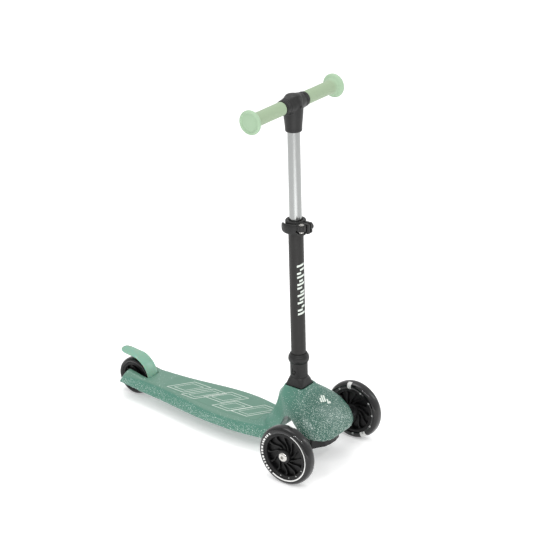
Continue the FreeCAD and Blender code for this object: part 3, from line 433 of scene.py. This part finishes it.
def brushed_paint(name, tone, rough, stretch, metallic=1.0):
    """Bare metal with fine lines along one way."""
    paint = Paint(name, Metallic=metallic)
    lines = paint.noise(1.2, 4.0, 0.6, stretch)
    paint.colour(paint.mix(lines, tuple(v * 0.9 for v in tone[:3]) + (1,), tone))
    paint.rough(paint.ramp(lines, 0.2, 0.8, rough - 0.07, rough + 0.07))
    paint.bump(lines, 0.01, 0.4)
    return paint.material


GREEN = glitter_paint()
FILM = film_paint()
PRINT_WHITE = plain_paint("print_white", rgb(214, 222, 214), 0.5, 0.5, 0.01, 0.03)
PRINT_GREY = plain_paint("print_grey", rgb(100, 136, 120), 0.55, 0.5, 0.01, 0.06)
MINT = grip_paint()
FENDER = plain_paint("mint_fender", rgb(124, 168, 147), 0.34, 0.6, 0.01, 0.05,
                     Subsurface_Weight=0.35, Subsurface_Scale=0.004, Coat_Weight=0.2)
BLACK = plain_paint("black_plastic", rgb(20, 20, 21), 0.5, 0.4, 0.025, 0.15, **DULL)
SATIN = plain_paint("black_satin", rgb(27, 27, 27), 0.42, 0.35, 0.015, 0.12, **DULL)
TUBE = plain_paint("black_powder_coat", rgb(32, 31, 30), 0.45, 0.5, 0.02, 0.08, **DULL)
# painted glint: pale pads that stand for bright spots on the wheels
GLINT_PAD = plain_paint("painted_glint_pad", rgb(186, 188, 186), 0.25, 0.5, 0.01, 0.1,
                     Transmission_Weight=0.3)
CORE = plain_paint("wheel_black", rgb(12, 12, 13), 0.42, 0.5, 0.02, 0.15, Specular_IOR_Level=0.25)
ALUMINIUM = brushed_paint("satin_aluminium", rgb(163, 165, 164), 0.2, (1, 1, 0.03), 0.97)
STEEL = brushed_paint("zinc_steel", rgb(176, 176, 178), 0.36, (1, 1, 1))
BRIGHT = brushed_paint("bright_steel", rgb(206, 204, 200), 0.22, (1, 1, 1))
NYLON = plain_paint("natural_nylon", rgb(214, 210, 200), 0.45)
BEARING = brushed_paint("sealed_bearing", rgb(62, 62, 64), 0.4, (1, 1, 1), 0.8)
SPRING = brushed_paint("spring_steel", rgb(150, 150, 152), 0.3, (1, 1, 1))


def tyre_paint(name, radius, printed):
    """Smoky cast polyurethane: glossy sides, satin tread, with plain print on one side and, on the
    other, two pale patches of painted light seen through the tyre.
    """
    clarity = 0.25
    paint = Paint(name, IOR=1.45, Transmission_Weight=clarity, Coat_Weight=0.3, Coat_Roughness=0.03,
                  **DULL)
    across, up, out = paint.axis("X"), paint.axis("Y"), paint.axis("Z")
    reach = paint.maths("SQRT", paint.maths("ADD", paint.maths("MULTIPLY", across, across),
                                           paint.maths("MULTIPLY", up, up)))
    tread = paint.ramp(reach, radius * 0.955, radius * 0.985)
    base = paint.mix(paint.noise(9.0), rgb(10, 10, 11), rgb(20, 20, 21))
    base = paint.mix(tread, base, rgb(24, 24, 25))
    paint.rough(paint.ramp(tread, 0.0, 1.0, 0.07, 0.36))
    if printed:
        # outboard side: a thin line round one part and short ticks round the rest
        angle = paint.maths("ARCTAN2", up, across)
        outboard, inboard, lit_pane_edge = 0.0102, -0.004, 0.0475
        line_radius, line_half, tick_radius, tick_half = 0.0502, 0.0011, 0.0506, 0.0017
        line = paint.all_of(paint.within(reach, line_radius, line_half),
                            paint.maths("LESS_THAN", angle, 1.25),
                            paint.maths("GREATER_THAN", angle, -2.1))
        turns = paint.maths("MULTIPLY", angle, 8.0)
        lot = paint.maths("FRACT", paint.maths("MULTIPLY", paint.maths("FLOOR", turns), 0.618))
        length = paint.maths("ADD", 0.35, paint.maths("MULTIPLY", lot, 0.45))
        ticks = paint.all_of(paint.maths("LESS_THAN", paint.maths("FRACT", turns), length),
                             paint.within(reach, tick_radius, tick_half),
                             paint.maths("GREATER_THAN", paint.maths("ABSOLUTE", angle), 2.2))
        print_and_lit_panes = paint.maths("MULTIPLY", paint.maths("MAXIMUM", line, ticks),
                            paint.maths("GREATER_THAN", out, outboard))
        # painted light: two pale patches on the inboard side, where light shows through the smoky
        # tyre
        lit_spots = paint.maths("MAXIMUM", paint.within(angle, 1.45, 0.08),
                            paint.within(angle, -2.15, 0.13))
        lit_pane = paint.all_of(paint.maths("LESS_THAN", out, inboard),
                            paint.maths("GREATER_THAN", reach, lit_pane_edge), lit_spots)
        # from here the print and the painted light through the tyre are carried together
        print_and_lit_panes = paint.maths("MAXIMUM", print_and_lit_panes, paint.maths("MULTIPLY", lit_pane, 0.8))
        base = paint.mix(print_and_lit_panes, base, rgb(238, 238, 236))
        clear = paint.maths("MULTIPLY", paint.maths("SUBTRACT", 1.0, print_and_lit_panes), clarity)
        paint.put(paint.shader.inputs["Transmission Weight"], clear)
    paint.colour(base)
    paint.bump(paint.noise(0.6, 2.0), 0.01, 0.3)
    return paint.material


def coat(piece, material, body, replaced=()):
    """Gives a piece its finish, its body and the CAD nodes it stands for."""
    piece.data.materials.clear()
    piece.data.materials.append(material)
    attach(piece, body)
    if replaced:
        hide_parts(*replaced)


def finish_node(material, *nodes):
    """New finish for CAD nodes that keep their own form."""
    for node in nodes:
        mesh = frame["nodes"][node].data
        for index in range(len(mesh.materials)):
            mesh.materials[index] = material


# ---------------------------------------------------------------- wheels
WHEEL_HALF = 12.0
FRONT_RADIUS, FRONT_BED, FRONT_SPOKES = 60.0, 47.0, 12
REAR_RADIUS, REAR_BED, REAR_SPOKES = 40.0, 31.0, 9
BLADE_START = 13.8


def tyre_profile(radius, bed, half):
    """Rounded solid section: bed on the core, bulging sides, crowned tread."""
    depth = radius - bed
    side = [(bed, 0), (bed, -half + 2.2), (bed + depth * 0.12, -half + 1.0),
            (bed + depth * 0.35, -half + 0.1), (bed + depth * 0.6, -half + 0.5),
            (bed + depth * 0.8, -half + 2.3), (bed + depth * 0.94, -half + 5.6),
            (radius - 0.1, -half + 9), (radius, 0)]
    lower = [tuple(point) for point in flowing(side[2:], 5)]
    outer = side[:2] + lower
    return outer + [(r, -z) for r, z in reversed(outer[1:-1])]


def spoke(angle, hub, rim, depth, curl, width):
    """One curved vane from the hub to the rim, as sections along its length."""
    sections = []
    steps = 9
    for step in range(steps + 1):
        t = step / steps
        reach = hub + (rim - hub) * t
        lean = angle + curl * math.sin(t * math.pi * 0.62)
        flare = width * (1.25 - 0.9 * t * (1 - t) * 2.2)
        tall = depth * (1.0 - 0.28 * math.sin(math.pi * t))
        heading = Vector((math.cos(lean), math.sin(lean), 0))
        side = Vector((-math.sin(lean), math.cos(lean), 0))
        upper = [(flare / 2, tall), (flare * 0.36, tall + 0.5),
                 (-flare * 0.36, tall + 0.5), (-flare / 2, tall)]
        ring = [(-u, -w) for u, w in upper] + upper
        sections.append([heading * reach + side * u + Z * w for u, w in ring])
    return sections


def wheel(tag, radius, bed, spokes, outward, printed):
    """Tyre, spoked core and pale pads of painted glint of a wheel; returns its place, local Z
    outward.
    """
    half = WHEEL_HALF
    body = f"wheel_{tag}"
    place = basis(Z.cross(outward), Z, outward, middle(f"wheel_core_{tag}"))
    tyre = lathe(f"tyre_{tag}_cast", tyre_profile(radius, bed, half), place, 160, True)
    paint = tyre_paint(f"polyurethane_{tag}", radius * MM, printed)
    coat(tyre, paint, body, (f"tyre_{tag}",))

    seat, inner = bed + 0.02, bed - 5.6
    rim = lathe("rim", rounded([(inner, -half + 2.2), (seat, -half + 2.2), (seat, half - 2.2),
                                (inner, half - 2.2), (bed - 6.6, half - 5), (bed - 6.6, -half + 5)],
                               1.0), place, 128, True)
    hub = lathe("hub", rounded([(11.05, -half), (13.4, -half), (14.6, -half + 4), (15.4, 0),
                                (14.6, half - 4), (13.4, half), (11.05, half)], 0.8),
                place, 64, True)
    blades = [loft("blade", spoke(2 * math.pi * k / spokes, BLADE_START, bed - 5.4, half - 5.5,
                                  0.62, 3.4), place, sharp=40)
              for k in range(spokes)]
    web = lathe("web", rounded(rect(13, -1.4, bed - 5.5, 1.4), 0.5), place, 96, True)
    core = merged(f"wheel_core_{tag}_moulded", rim, hub, web, *blades)
    coat(core, CORE, body, (f"wheel_core_{tag}",))
    # painted glints: small pale pads all round the tyre's inboard side, and a few on the outboard
    # rim
    glint_pads = []
    for side, reach, wide, angles in ((-1, bed + 2.7, 2.2, range(25, 385, 30)),
                                      (1, bed - 2.6, 1.3, range(-100, -20, 25))):
        outer = half - 0.15 if side < 0 else half - 1.9
        low, high = sorted((side * (outer - 1.6), side * outer))
        pad = rounded(rect(0, low, wide, high), 0.01, 1)
        for angle in angles:
            turn = math.radians(angle)
            spot = Vector((math.cos(turn), math.sin(turn), 0)) * reach * MM
            glint_pads.append(lathe("glint_pad", pad, place @ Matrix.Translation(spot), 16))
    coat(merged(f"rim_glint_pads_{tag}", *glint_pads), GLINT_PAD, body, ())
    return place


for tag, outward in (("left", X), ("right", -X)):
    place = wheel(f"front_{tag}", FRONT_RADIUS, FRONT_BED, FRONT_SPOKES, outward, True)
    dome = flowing([(9.5, 12.5), (9.3, 13.8), (8.2, 15.2), (6.2, 16.1), (3.6, 16.45)], 5)
    head = lathe(f"hub_bolt_{tag}", flowing([(3.9, 12.02), (9.3, 12.02)], 2) + dome + [(0, 16.5)],
                 place, 64)
    shank = lathe("shank", rect(0, -51, 3.95, 12.1), place, 32)
    socket = lathe("socket", rect(0, 13.2, 3.7, 18), place, 6)
    head = cut(merged(f"hub_bolt_{tag}", head, shank), socket)
    coat(head, BRIGHT, f"knuckle_{tag}", (f"front_axle_bolt_{tag}",))
wheel("rear", REAR_RADIUS, REAR_BED, REAR_SPOKES, -X, False)

# ---------------------------------------------------------------- deck and hood
deck = melted(copied("deck_moulding", "deck_body"), 1.6, 18)
coat(deck, GREEN, "deck", ("deck_body",))


# ---------------------------------------------------------------- printed marks, plain slanted bars
class Print:
    """Thin raised parallelograms on a surface: mapping(along, across, rise) gives a point."""

    def __init__(self, mapping, pitch=2.0):
        self.mapping = mapping
        self.pitch = pitch
        self.bm = bmesh.new()

    def patch(self, corner, one, other, rise):
        corner, one, other = Vector(corner), Vector(one), Vector(other)
        wide = max(1, round(one.length / self.pitch))
        tall = max(1, round(other.length / self.pitch))
        grid = [[corner + one * (i / wide) + other * (j / tall) for j in range(tall + 1)]
                for i in range(wide + 1)]
        layers = [[[self.bm.verts.new(self.mapping(*point, level)) for point in row] for row in grid]
                  for level in (0.0, rise)]
        for layer in layers:
            for i in range(wide):
                for j in range(tall):
                    self.bm.faces.new((layer[i][j], layer[i + 1][j],
                                       layer[i + 1][j + 1], layer[i][j + 1]))
        low, high = layers
        border = ([(i, 0) for i in range(wide)] + [(wide, j) for j in range(tall)]
                  + [(i, tall) for i in range(wide, 0, -1)] + [(0, j) for j in range(tall, 0, -1)])
        for (i, j), (k, m) in zip(border, border[1:] + border[:1]):
            self.bm.faces.new((low[i][j], low[k][m], high[k][m], high[i][j]))

    def outline(self, corner, one, other, line, rise):
        """Border of a parallelogram, drawn inside it."""
        corner, one, other = Vector(corner), Vector(one), Vector(other)
        area = abs(one.x * other.y - one.y * other.x)
        step_one = one.normalized() * (line * one.length * other.length / area)
        step_other = other.normalized() * (line * one.length * other.length / area)
        self.patch(corner, one, step_other, rise)
        self.patch(corner + other - step_other, one, step_other, rise)
        self.patch(corner + step_other, step_one, other - 2 * step_other, rise)
        self.patch(corner + one - step_one + step_other, step_one, other - 2 * step_other, rise)

    def done(self, name, material, slot):
        coat(finish_mesh(self.bm, name, Matrix(), FINE_SHARP), material, "deck", ())


# anti-slip film on the flat top of the deck
FILM_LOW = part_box("deck_decal")[0].z / MM
FILM_THICK = 0.3
film_shape = rounded([(-34, -88), (34, -88), (42, -20), (38, 50), (25, 156),
                      (-25, 156), (-38, 50), (-42, -20)], 14, 8)
film_edge = [(x * 0.99, (y - 24) * 0.99 + 24) for x, y in film_shape]
film = loft("deck_film", stacked(film_shape, FILM_LOW, FILM_LOW + 0.22)
            + stacked(film_edge, FILM_LOW + FILM_THICK))
coat(film, FILM, "deck", ("deck_decal",))


def on_deck(along, across, rise):
    """On top of the film."""
    return Vector((across, along, FILM_LOW + FILM_THICK + rise)) * MM


# each mark is a double outline in white over a grey field
white_bars, grey_bars = Print(on_deck, 40), Print(on_deck, 40)
for start, low, high, length, slant in (
        (-84, -30, 30, 40, -40), (-36, -34, 10, 42, -30), (-6, -14, 34, 46, -34),
        (46, -34, 24, 34, -40), (84, -25, 25, 44, -34)):
    tall = high - low
    start -= slant / 2
    for inset, line in ((0.0, 1.25), (8.0, 0.9)):
        share = inset / tall
        white_bars.outline((start + slant * share + inset, low + inset), (length - 2 * inset, 0),
                           (slant * (1 - 2 * share), tall - 2 * inset), line, 0.2)
    grey_bars.patch((start + 1.6, low + 1.2), (length - 3.2, 0),
                    (slant * (tall - 2.4) / tall, tall - 2.4), 0.1)
white_bars.done("deck_print_white", PRINT_WHITE, "decal")
grey_bars.done("deck_print_grey", PRINT_GREY, "decal")

LOWER_TUBE_RADIUS = 14.5


def on_tube(along, across, rise):
    """Round the front of the lower tube."""
    angle = -math.pi / 2 - 0.36 + across / LOWER_TUBE_RADIUS
    radius = (LOWER_TUBE_RADIUS + 0.02 + rise) * MM
    return STEM @ Vector((radius * math.cos(angle), radius * math.sin(angle), along * MM))


tube_bars = Print(on_tube, 1.5)
for index, (low, high) in enumerate((
        (-8, 8), (-8, 2), (0, 8), (-8, 4), (-4, 8), (-8, 8), (-2, 8),
        (-8, 2), (-8, 8), (-4, 4), (-8, 8), (-8, 0), (-2, 8), (-8, 8))):
    start = 144 + index * 7.6
    tube_bars.patch((start, low), (4.0, 0), (3.6 * (high - low) / 16, high - low), 0.12)
tube_bars.done("tube_print", PRINT_WHITE, "black_tube")

HOOD_MARK = Vector((7, -222, 126)) * MM
HOOD_OUT = Vector((0.02, -0.62, 0.78)).normalized()
HOOD_SLANT = Vector((0.35, 0.78, 0.62))
HOOD_UP = (HOOD_SLANT - HOOD_OUT * HOOD_SLANT.dot(HOOD_OUT)).normalized()
HOOD_SIDE = HOOD_UP.cross(HOOD_OUT)


def on_hood(along, across, rise):
    """Onto the front of the hood along its normal."""
    start = HOOD_MARK + (HOOD_SIDE * along + HOOD_UP * across) * MM + HOOD_OUT * 0.03
    found, point, normal = deck.ray_cast(start, -HOOD_OUT)[:3]
    return point + normal * (rise + 0.04) * MM if found else HOOD_MARK


hood_bars = Print(on_hood, 1.5)
for along, low, high in ((-10, -7, 3), (-5, -7, 8), (0, -7, 8), (5, -12, -2), (9.5, -12, -7)):
    hood_bars.patch((along, low), (3.6, 0), (2.8 * (high - low) / 14, high - low), 0.15)
hood_bars.done("hood_print", PRINT_WHITE, "decal")

# ---------------------------------------------------------------- stem
SOCKET_TOP = 41.0
SOCKET_BORE, RING_BORE = 14.54, 14.56
FOOT_HALF, NECK_HALF = 20.0, 17.2
# (height, half width, power) of squared sections: a squarish foot that flares out of a round neck
levels = [(-6, 19.4, 11.0), (-5.4, FOOT_HALF, 11.0)]
for step in range(1, 15):
    t = step / 14
    narrow = FOOT_HALF + (NECK_HALF - FOOT_HALF) * min(1, t * 1.35) ** 0.75
    levels.append((-6 + 17 * t, narrow, 9.0 * (1 - t) ** 1.2 + 2.0))
levels += [(11.4, 16.5, 2.0), (12.2, 16.5, 2.0), (12.6, NECK_HALF, 2.0),
           (40.4, NECK_HALF, 2.0), (SOCKET_TOP, 16.8, 2.0)]
socket = loft("socket_moulded", [[(x, y, height) for x, y in squircle(half, half, power, 96)]
                                 for height, half, power in levels], STEM, sharp=28)
bore = lathe("bore", rect(0, -7, SOCKET_BORE, 42), STEM, 96)
BUTTON_HEIGHT = 23
button_place = basis(STEM.to_3x3() @ Y, STEM.to_3x3() @ Z, -X,
                     STEM @ (Vector((0, 0, BUTTON_HEIGHT)) * MM))
button_way = lathe("button_way", rect(0, 10, 3.06, 20), button_place, 48)
recess = loft("recess", stacked(rounded(rect(-4.2, -5, 4.2, 10), 4.2, 8), 15.9, 18.5), button_place)
cut(socket, bore, button_way, recess, sharp=30)
coat(socket, SATIN, "deck", ("stem_socket",))

bulge = flowing([(17.0, 41.2), (18.6, 42.2), (20.1, 45.6), (20.5, 49.5), (19.8, 53.8),
                 (18.2, 56.6), (17.5, 58.2), (16.7, 59.6)], 5)
ring_profile = [(RING_BORE, SOCKET_TOP)] + bulge + [(16.2, 60.0), (RING_BORE, 60.0)]
ring = lathe("ring_moulded", ring_profile, STEM, 96, True)
coat(ring, SATIN, "deck", ("stem_ring",))

# ---------------------------------------------------------------- height clamp
CLAMP_LOW, CLAMP_HIGH = 312.0, 336.0
CLAMP_MID = (CLAMP_LOW + CLAMP_HIGH) / 2
UPPER_TUBE_BORE = 12.7
BOLT_AHEAD = 26
LEVER_PIVOT = on_stem(-18, -BOLT_AHEAD, 0)
PIN_RADIUS, EYE_BORE = 5, 5.06
collar_ring = lathe("collar_ring", rounded([
    (RING_BORE, CLAMP_LOW), (19.9, CLAMP_LOW), (19.9, CLAMP_HIGH), (UPPER_TUBE_BORE, CLAMP_HIGH),
    (UPPER_TUBE_BORE, CLAMP_HIGH - 7), (RING_BORE, CLAMP_HIGH - 9)], 2.4), STEM, 96, True)
ears = loft("collar_ears", stacked(rounded(rect(-8.3, -34, 8.3, -17), 3.5),
                                   CLAMP_LOW + 2.2, CLAMP_HIGH - 2.2), STEM)
collar = melted(merged("clamp_moulded", collar_ring, ears), 0.7, 5)
slit = loft("slit", stacked(rect(-1.4, -40, 1.4, -17.2), 300, 350), STEM)
cut(collar, slit, sharp=40)
coat(collar, SATIN, "deck", ("clamp_collar",))


def fading(t, start, least):
    """1 until start, then down like a quarter of an ellipse as t goes to 1."""
    return 1 if t < start else math.sqrt(max(least, 1 - ((t - start) / (1 - start)) ** 2))


# the lever wraps round the collar and tapers to its tip
arc = []
for step in range(25):
    t = step / 24
    angle = math.radians(232 - 124 * t)
    reach = 24.1 + 0.3 * math.sin(t * math.pi) - 0.5 * t ** 3
    tall = (10.4 - 3.6 * t ** 2) * fading(t, 0.85, 0.02)
    thick = 3.2 * fading(t, 0.92, 0.05)
    out = Vector((math.cos(angle), math.sin(angle), 0))
    height = CLAMP_MID - 2.4 * t ** 2
    arc.append([out * (reach + v) + Z * (height + w) for v, w in squircle(thick, tall, 3.0, 28)])
band = loft("lever_band", arc, STEM)
eye = lathe("lever_eye", rounded(rect(EYE_BORE, CLAMP_LOW + 4, 8.0, CLAMP_HIGH - 1.5), 2.2),
            LEVER_PIVOT, 64, True)
lever = melted(merged("lever_moulded", band, eye), 0.55, 6)
notch = lathe("notch", rect(0, CLAMP_MID - 5, 10.8, CLAMP_MID - 1), LEVER_PIVOT, 48)
cut(lever, notch, sharp=40)
coat(lever, SATIN, "clamp_lever", ("clamp_lever",))

nut_profile = rounded([(3.06, 8.7), (6.6, 8.7), (6.6, 12.6), (5.2, 14.2), (3.06, 14.2)], 1.0, 4)
nut = lathe("clamp_nut_moulded", nut_profile,
            basis(Y, Z, X, STEM @ (Vector((0, -BOLT_AHEAD, CLAMP_MID)) * MM)), 48, True)
coat(nut, SATIN, "deck", ("clamp_nut",))
dish = CLAMP_HIGH - 0.8
pin_profile = [(0, CLAMP_LOW + 3), (4.4, CLAMP_LOW + 3), (PIN_RADIUS, CLAMP_LOW + 3.6),
               (PIN_RADIUS, dish), (4.2, CLAMP_HIGH), (2.0, CLAMP_HIGH), (1.7, dish), (0, dish)]
pin = lathe("barrel_turned", pin_profile, LEVER_PIVOT, 48)
coat(pin, BRIGHT, "deck", ("clamp_barrel",))

# ---------------------------------------------------------------- handlebar
BAR_HEIGHT = 562.0
CROSSBAR_BORE = 11.06
bar_place = on_stem(0, 0, BAR_HEIGHT, Matrix.Rotation(math.pi / 2, 4, "Y"))
stalk_side = flowing([(14.8, 509.6), (15.9, 511), (16.3, 520), (17.8, 535), (18.9, 549),
                      (19.0, 562), (17.8, 571.5), (13.2, 578.4), (6, 580.8)], 5)
stalk = lathe("stalk", [(0, 509.6)] + stalk_side + [(0, 581)], STEM, 96)
arm_half = [(18.2, 0), (17.7, 10), (16.4, 17), (15.3, 22.8), (14.3, 24)]
arm_side = flowing([(r, -h) for r, h in reversed(arm_half[1:])] + arm_half, 5)
arms = lathe("arms", [(0, -24)] + arm_side + [(0, 24)], bar_place, 96)
tee = melted(merged("tee_moulded", stalk, arms), 0.9, 9)
coat(tee, SATIN, "handlebar", ("handle_tee",))
collar_profile = rounded([
    (CROSSBAR_BORE, 24), (14.6, 24), (14.8, 26.6), (14.0, 27.2), (14.0, 27.8), (14.8, 28.4),
    (14.6, 31.4), (13.6, 32), (13.6, 32.6), (14.1, 33.2), (13.8, 35), (CROSSBAR_BORE, 35)], 0.4, 3)
grip_profile = [(CROSSBAR_BORE, 35.2)] + flowing([
    (12.0, 35.2), (12.9, 36.6), (13.0, 40), (12.9, 60), (12.9, 100), (13.1, 112), (13.7, 118),
    (15.8, 122.2), (20.0, 124.6), (22.3, 126.8), (22.9, 129.6), (22.2, 132.2), (20.4, 133.6),
    (18.6, 133.4), (17.6, 132.3), (16.4, 131.6), (8, 132.4)], 5) + [(0, 132.6)]
for side, tag in ((-1, "right"), (1, "left")):
    place = on_stem(0, 0, BAR_HEIGHT, Matrix.Rotation(side * math.pi / 2, 4, "Y"))
    collar = lathe(f"bar_collar_{tag}", collar_profile, place, 80, True)
    coat(collar, SATIN, "handlebar", ("bar_collars",) if side < 0 else ())
    grip = lathe(f"grip_moulded_{tag}", grip_profile, place, 96)
    coat(grip, MINT, "handlebar", (f"grip_{tag}",))

# ---------------------------------------------------------------- brake fender
pin_y = JOINTS["brake_press"]["pos_m"][1] / MM
pin_z = JOINTS["brake_press"]["pos_m"][2] / MM
FENDER_HALF = 15.9
HINGE = basis(Y, Z, X, Vector((0, pin_y, pin_z)) * MM)
# side view of the fender: (back, up) from its hinge
spine = flowing([(7.9, 1.4), (8.6, 5), (9.0, 8.5), (12.4, 19), (17.85, 27.9), (22.85, 33.4),
                 (28.5, 38), (36, 42.4), (44.65, 45.25), (60.3, 46.5), (72, 47.9), (81, 49.5),
                 (87, 50.8)], 6)
sections = []
for index, point in enumerate(spine):
    before = spine[max(index - 1, 0)]
    after = spine[min(index + 1, len(spine) - 1)]
    heading = (after - before).normalized()
    up = Vector((-heading.y, heading.x))
    t = index / (len(spine) - 1)
    tip = fading(t, 0.8, 0.03)
    thick = (2.15 - 0.35 * t) * fading(t, 0.95, 0.08)
    ring = []
    for u, v in squircle(FENDER_HALF * tip, thick, 2.6, 40):
        crown = (0.5 - 0.9 * (u / 16) ** 2) * min(1, t * 4)
        ring.append((u, pin_y + point.x + up.x * (v + crown), pin_z + point.y + up.y * (v + crown)))
    sections.append(ring)
pieces = [loft("fender_strip", sections)]
arm_view = [(pin_y + y, pin_z + z) for y, z in ((0, 4.4), (8, 4.8), (8, 0.6), (2, -4.2))]
for first, last in ((-FENDER_HALF, -12.1), (-5.9, 5.9), (12.1, FENDER_HALF)):
    pieces.append(lathe("fender_eye", rect(0, first, 4.9, last), HINGE, 48))
    pieces.append(loft("fender_arm", [[(x, y, z) for y, z in arm_view] for x in (first, last)]))
fender = melted(merged("fender_moulded", *pieces), 0.8, 5)
pin_way = lathe("pin_way", rect(0, -30, 2.6, 30), HINGE, 32)
cut(fender, pin_way, sharp=40)
coat(fender, FENDER, "brake_fender", ("brake_fender",))

# moulding gate near the fender's tip
gate_place = (Matrix.Translation(Vector((3, pin_y + 78, pin_z + 50.4)) * MM)
              @ Matrix.Rotation(0.12, 4, "X"))
gate = lathe("fender_gate", [(0, -1), (1.3, -1), (1.3, 0.25), (0.9, 0.4), (0, 0.4)], gate_place, 24)
coat(gate, PRINT_WHITE, "brake_fender", ())

# ---------------------------------------------------------------- chassis
for node, name, body in (("truck_housing", "truck_moulded", "truck"),
                         ("pivot_bracket", "bracket_moulded", "deck"),
                         ("knuckle_left", "knuckle_left_cast", "knuckle_left"),
                         ("knuckle_right", "knuckle_right_cast", "knuckle_right"),
                         ("tie_rod", "tie_rod_moulded", "tie_rod")):
    coat(melted(copied(name, node), 0.9, 5), BLACK, body, (node,))

# ---------------------------------------------------------------- nodes that keep their own form
finish_node(SATIN, "tee_plug", "release_button")
finish_node(TUBE, "lower_tube")
finish_node(ALUMINIUM, "upper_tube", "crossbar")
finish_node(STEEL, "clamp_bolt", "rear_axle_bolt", "bracket_screws", "lean_pivot_bolt",
            "steering_pin", "kingpins", "bearing_spacer_front_left", "bearing_spacer_front_right",
            "bearing_spacer_rear", "brake_pin", "rear_axle_spacers")
finish_node(BEARING, "bearings_front_left", "bearings_front_right", "bearings_rear",
            "axle_washer_left", "axle_washer_right")
finish_node(SPRING, "lean_springs", "brake_springs", "button_spring")
finish_node(NYLON, "tube_bushing")

# ---------------------------------------------------------------- floor, light and camera
floor_mesh = bpy.data.meshes.new("floor")
FLOOR = 20
corners = [(x * FLOOR, y * FLOOR, 0) for x, y in ((-1, -1), (1, -1), (1, 1), (-1, 1))]
floor_mesh.from_pydata(corners, [], [(0, 1, 2, 3)])
floor = bpy.data.objects.new("floor", floor_mesh)
scene.collection.objects.link(floor)
floor_paint = Paint("pale_floor", Roughness=0.85, Emission_Color=(1, 1, 1, 1),
                    Emission_Strength=0.32)
floor_paint.colour(shaded(floor_paint, (0.88, 0.88, 0.88, 1), 0.01, 400))
floor_mesh.materials.append(floor_paint.material)

world = bpy.data.worlds.new("studio")
world.use_nodes = True
background = world.node_tree.nodes["Background"].inputs
background["Color"].default_value = (1, 1, 1, 1)
background["Strength"].default_value = 0.8
scene.world = world


def lamp(name, kind, location, power):
    """Lamp that shines straight down until it is aimed."""
    made = bpy.data.objects.new(name, bpy.data.lights.new(name, kind))
    made.location = location
    made.data.energy = power
    scene.collection.objects.link(made)
    return made


def softbox(name, location, aim, width, height, power):
    """Rectangular lamp aimed at a point."""
    made = lamp(name, "AREA", location, power)
    made.data.shape = "RECTANGLE"
    made.data.size = width
    made.data.size_y = height
    made.rotation_euler = (Vector(aim) - Vector(location)).to_track_quat("-Z", "Y").to_euler()


softbox("key", (-1.4, -1.2, 2.4), (0, 0, 0.2), 0.7, 0.7, 8)
softbox("strip_left", (-1.7, -0.5, 2.0), (0, -0.2, 0.1), 0.035, 0.5, 7)
softbox("strip_right", (-0.6, -1.8, 2.1), (0, -0.2, 0.1), 0.5, 0.035, 7)
softbox("top", (0.3, 0.6, 3.0), (0, 0, 0.2), 1.6, 1.6, 26)
softbox("side", (2.0, -1.6, 1.5), (0, 0, 0.3), 0.3, 1.2, 6)

# a pool of light on the floor in front of the object, which the aluminium tube reflects
pool = lamp("pool", "SPOT", (-0.95, -1.08, 1.5), 170).data
pool.spot_size = math.radians(62)
pool.spot_blend = 1.0
pool.shadow_soft_size = 0.1

CAMERA_PLACE = Vector((-2.6199, -2.0476, 1.8282))
CAMERA_AIM = Vector((0.1125, -0.0293, 0.300))
camera = bpy.data.objects.new("camera", bpy.data.cameras.new("camera"))
camera.location = CAMERA_PLACE
camera.rotation_euler = (CAMERA_AIM - CAMERA_PLACE).to_track_quat("-Z", "Y").to_euler()
camera.data.sensor_width = 36
camera.data.lens = 122.2
scene.collection.objects.link(camera)
scene.camera = camera
scene.view_settings.view_transform = "Standard"
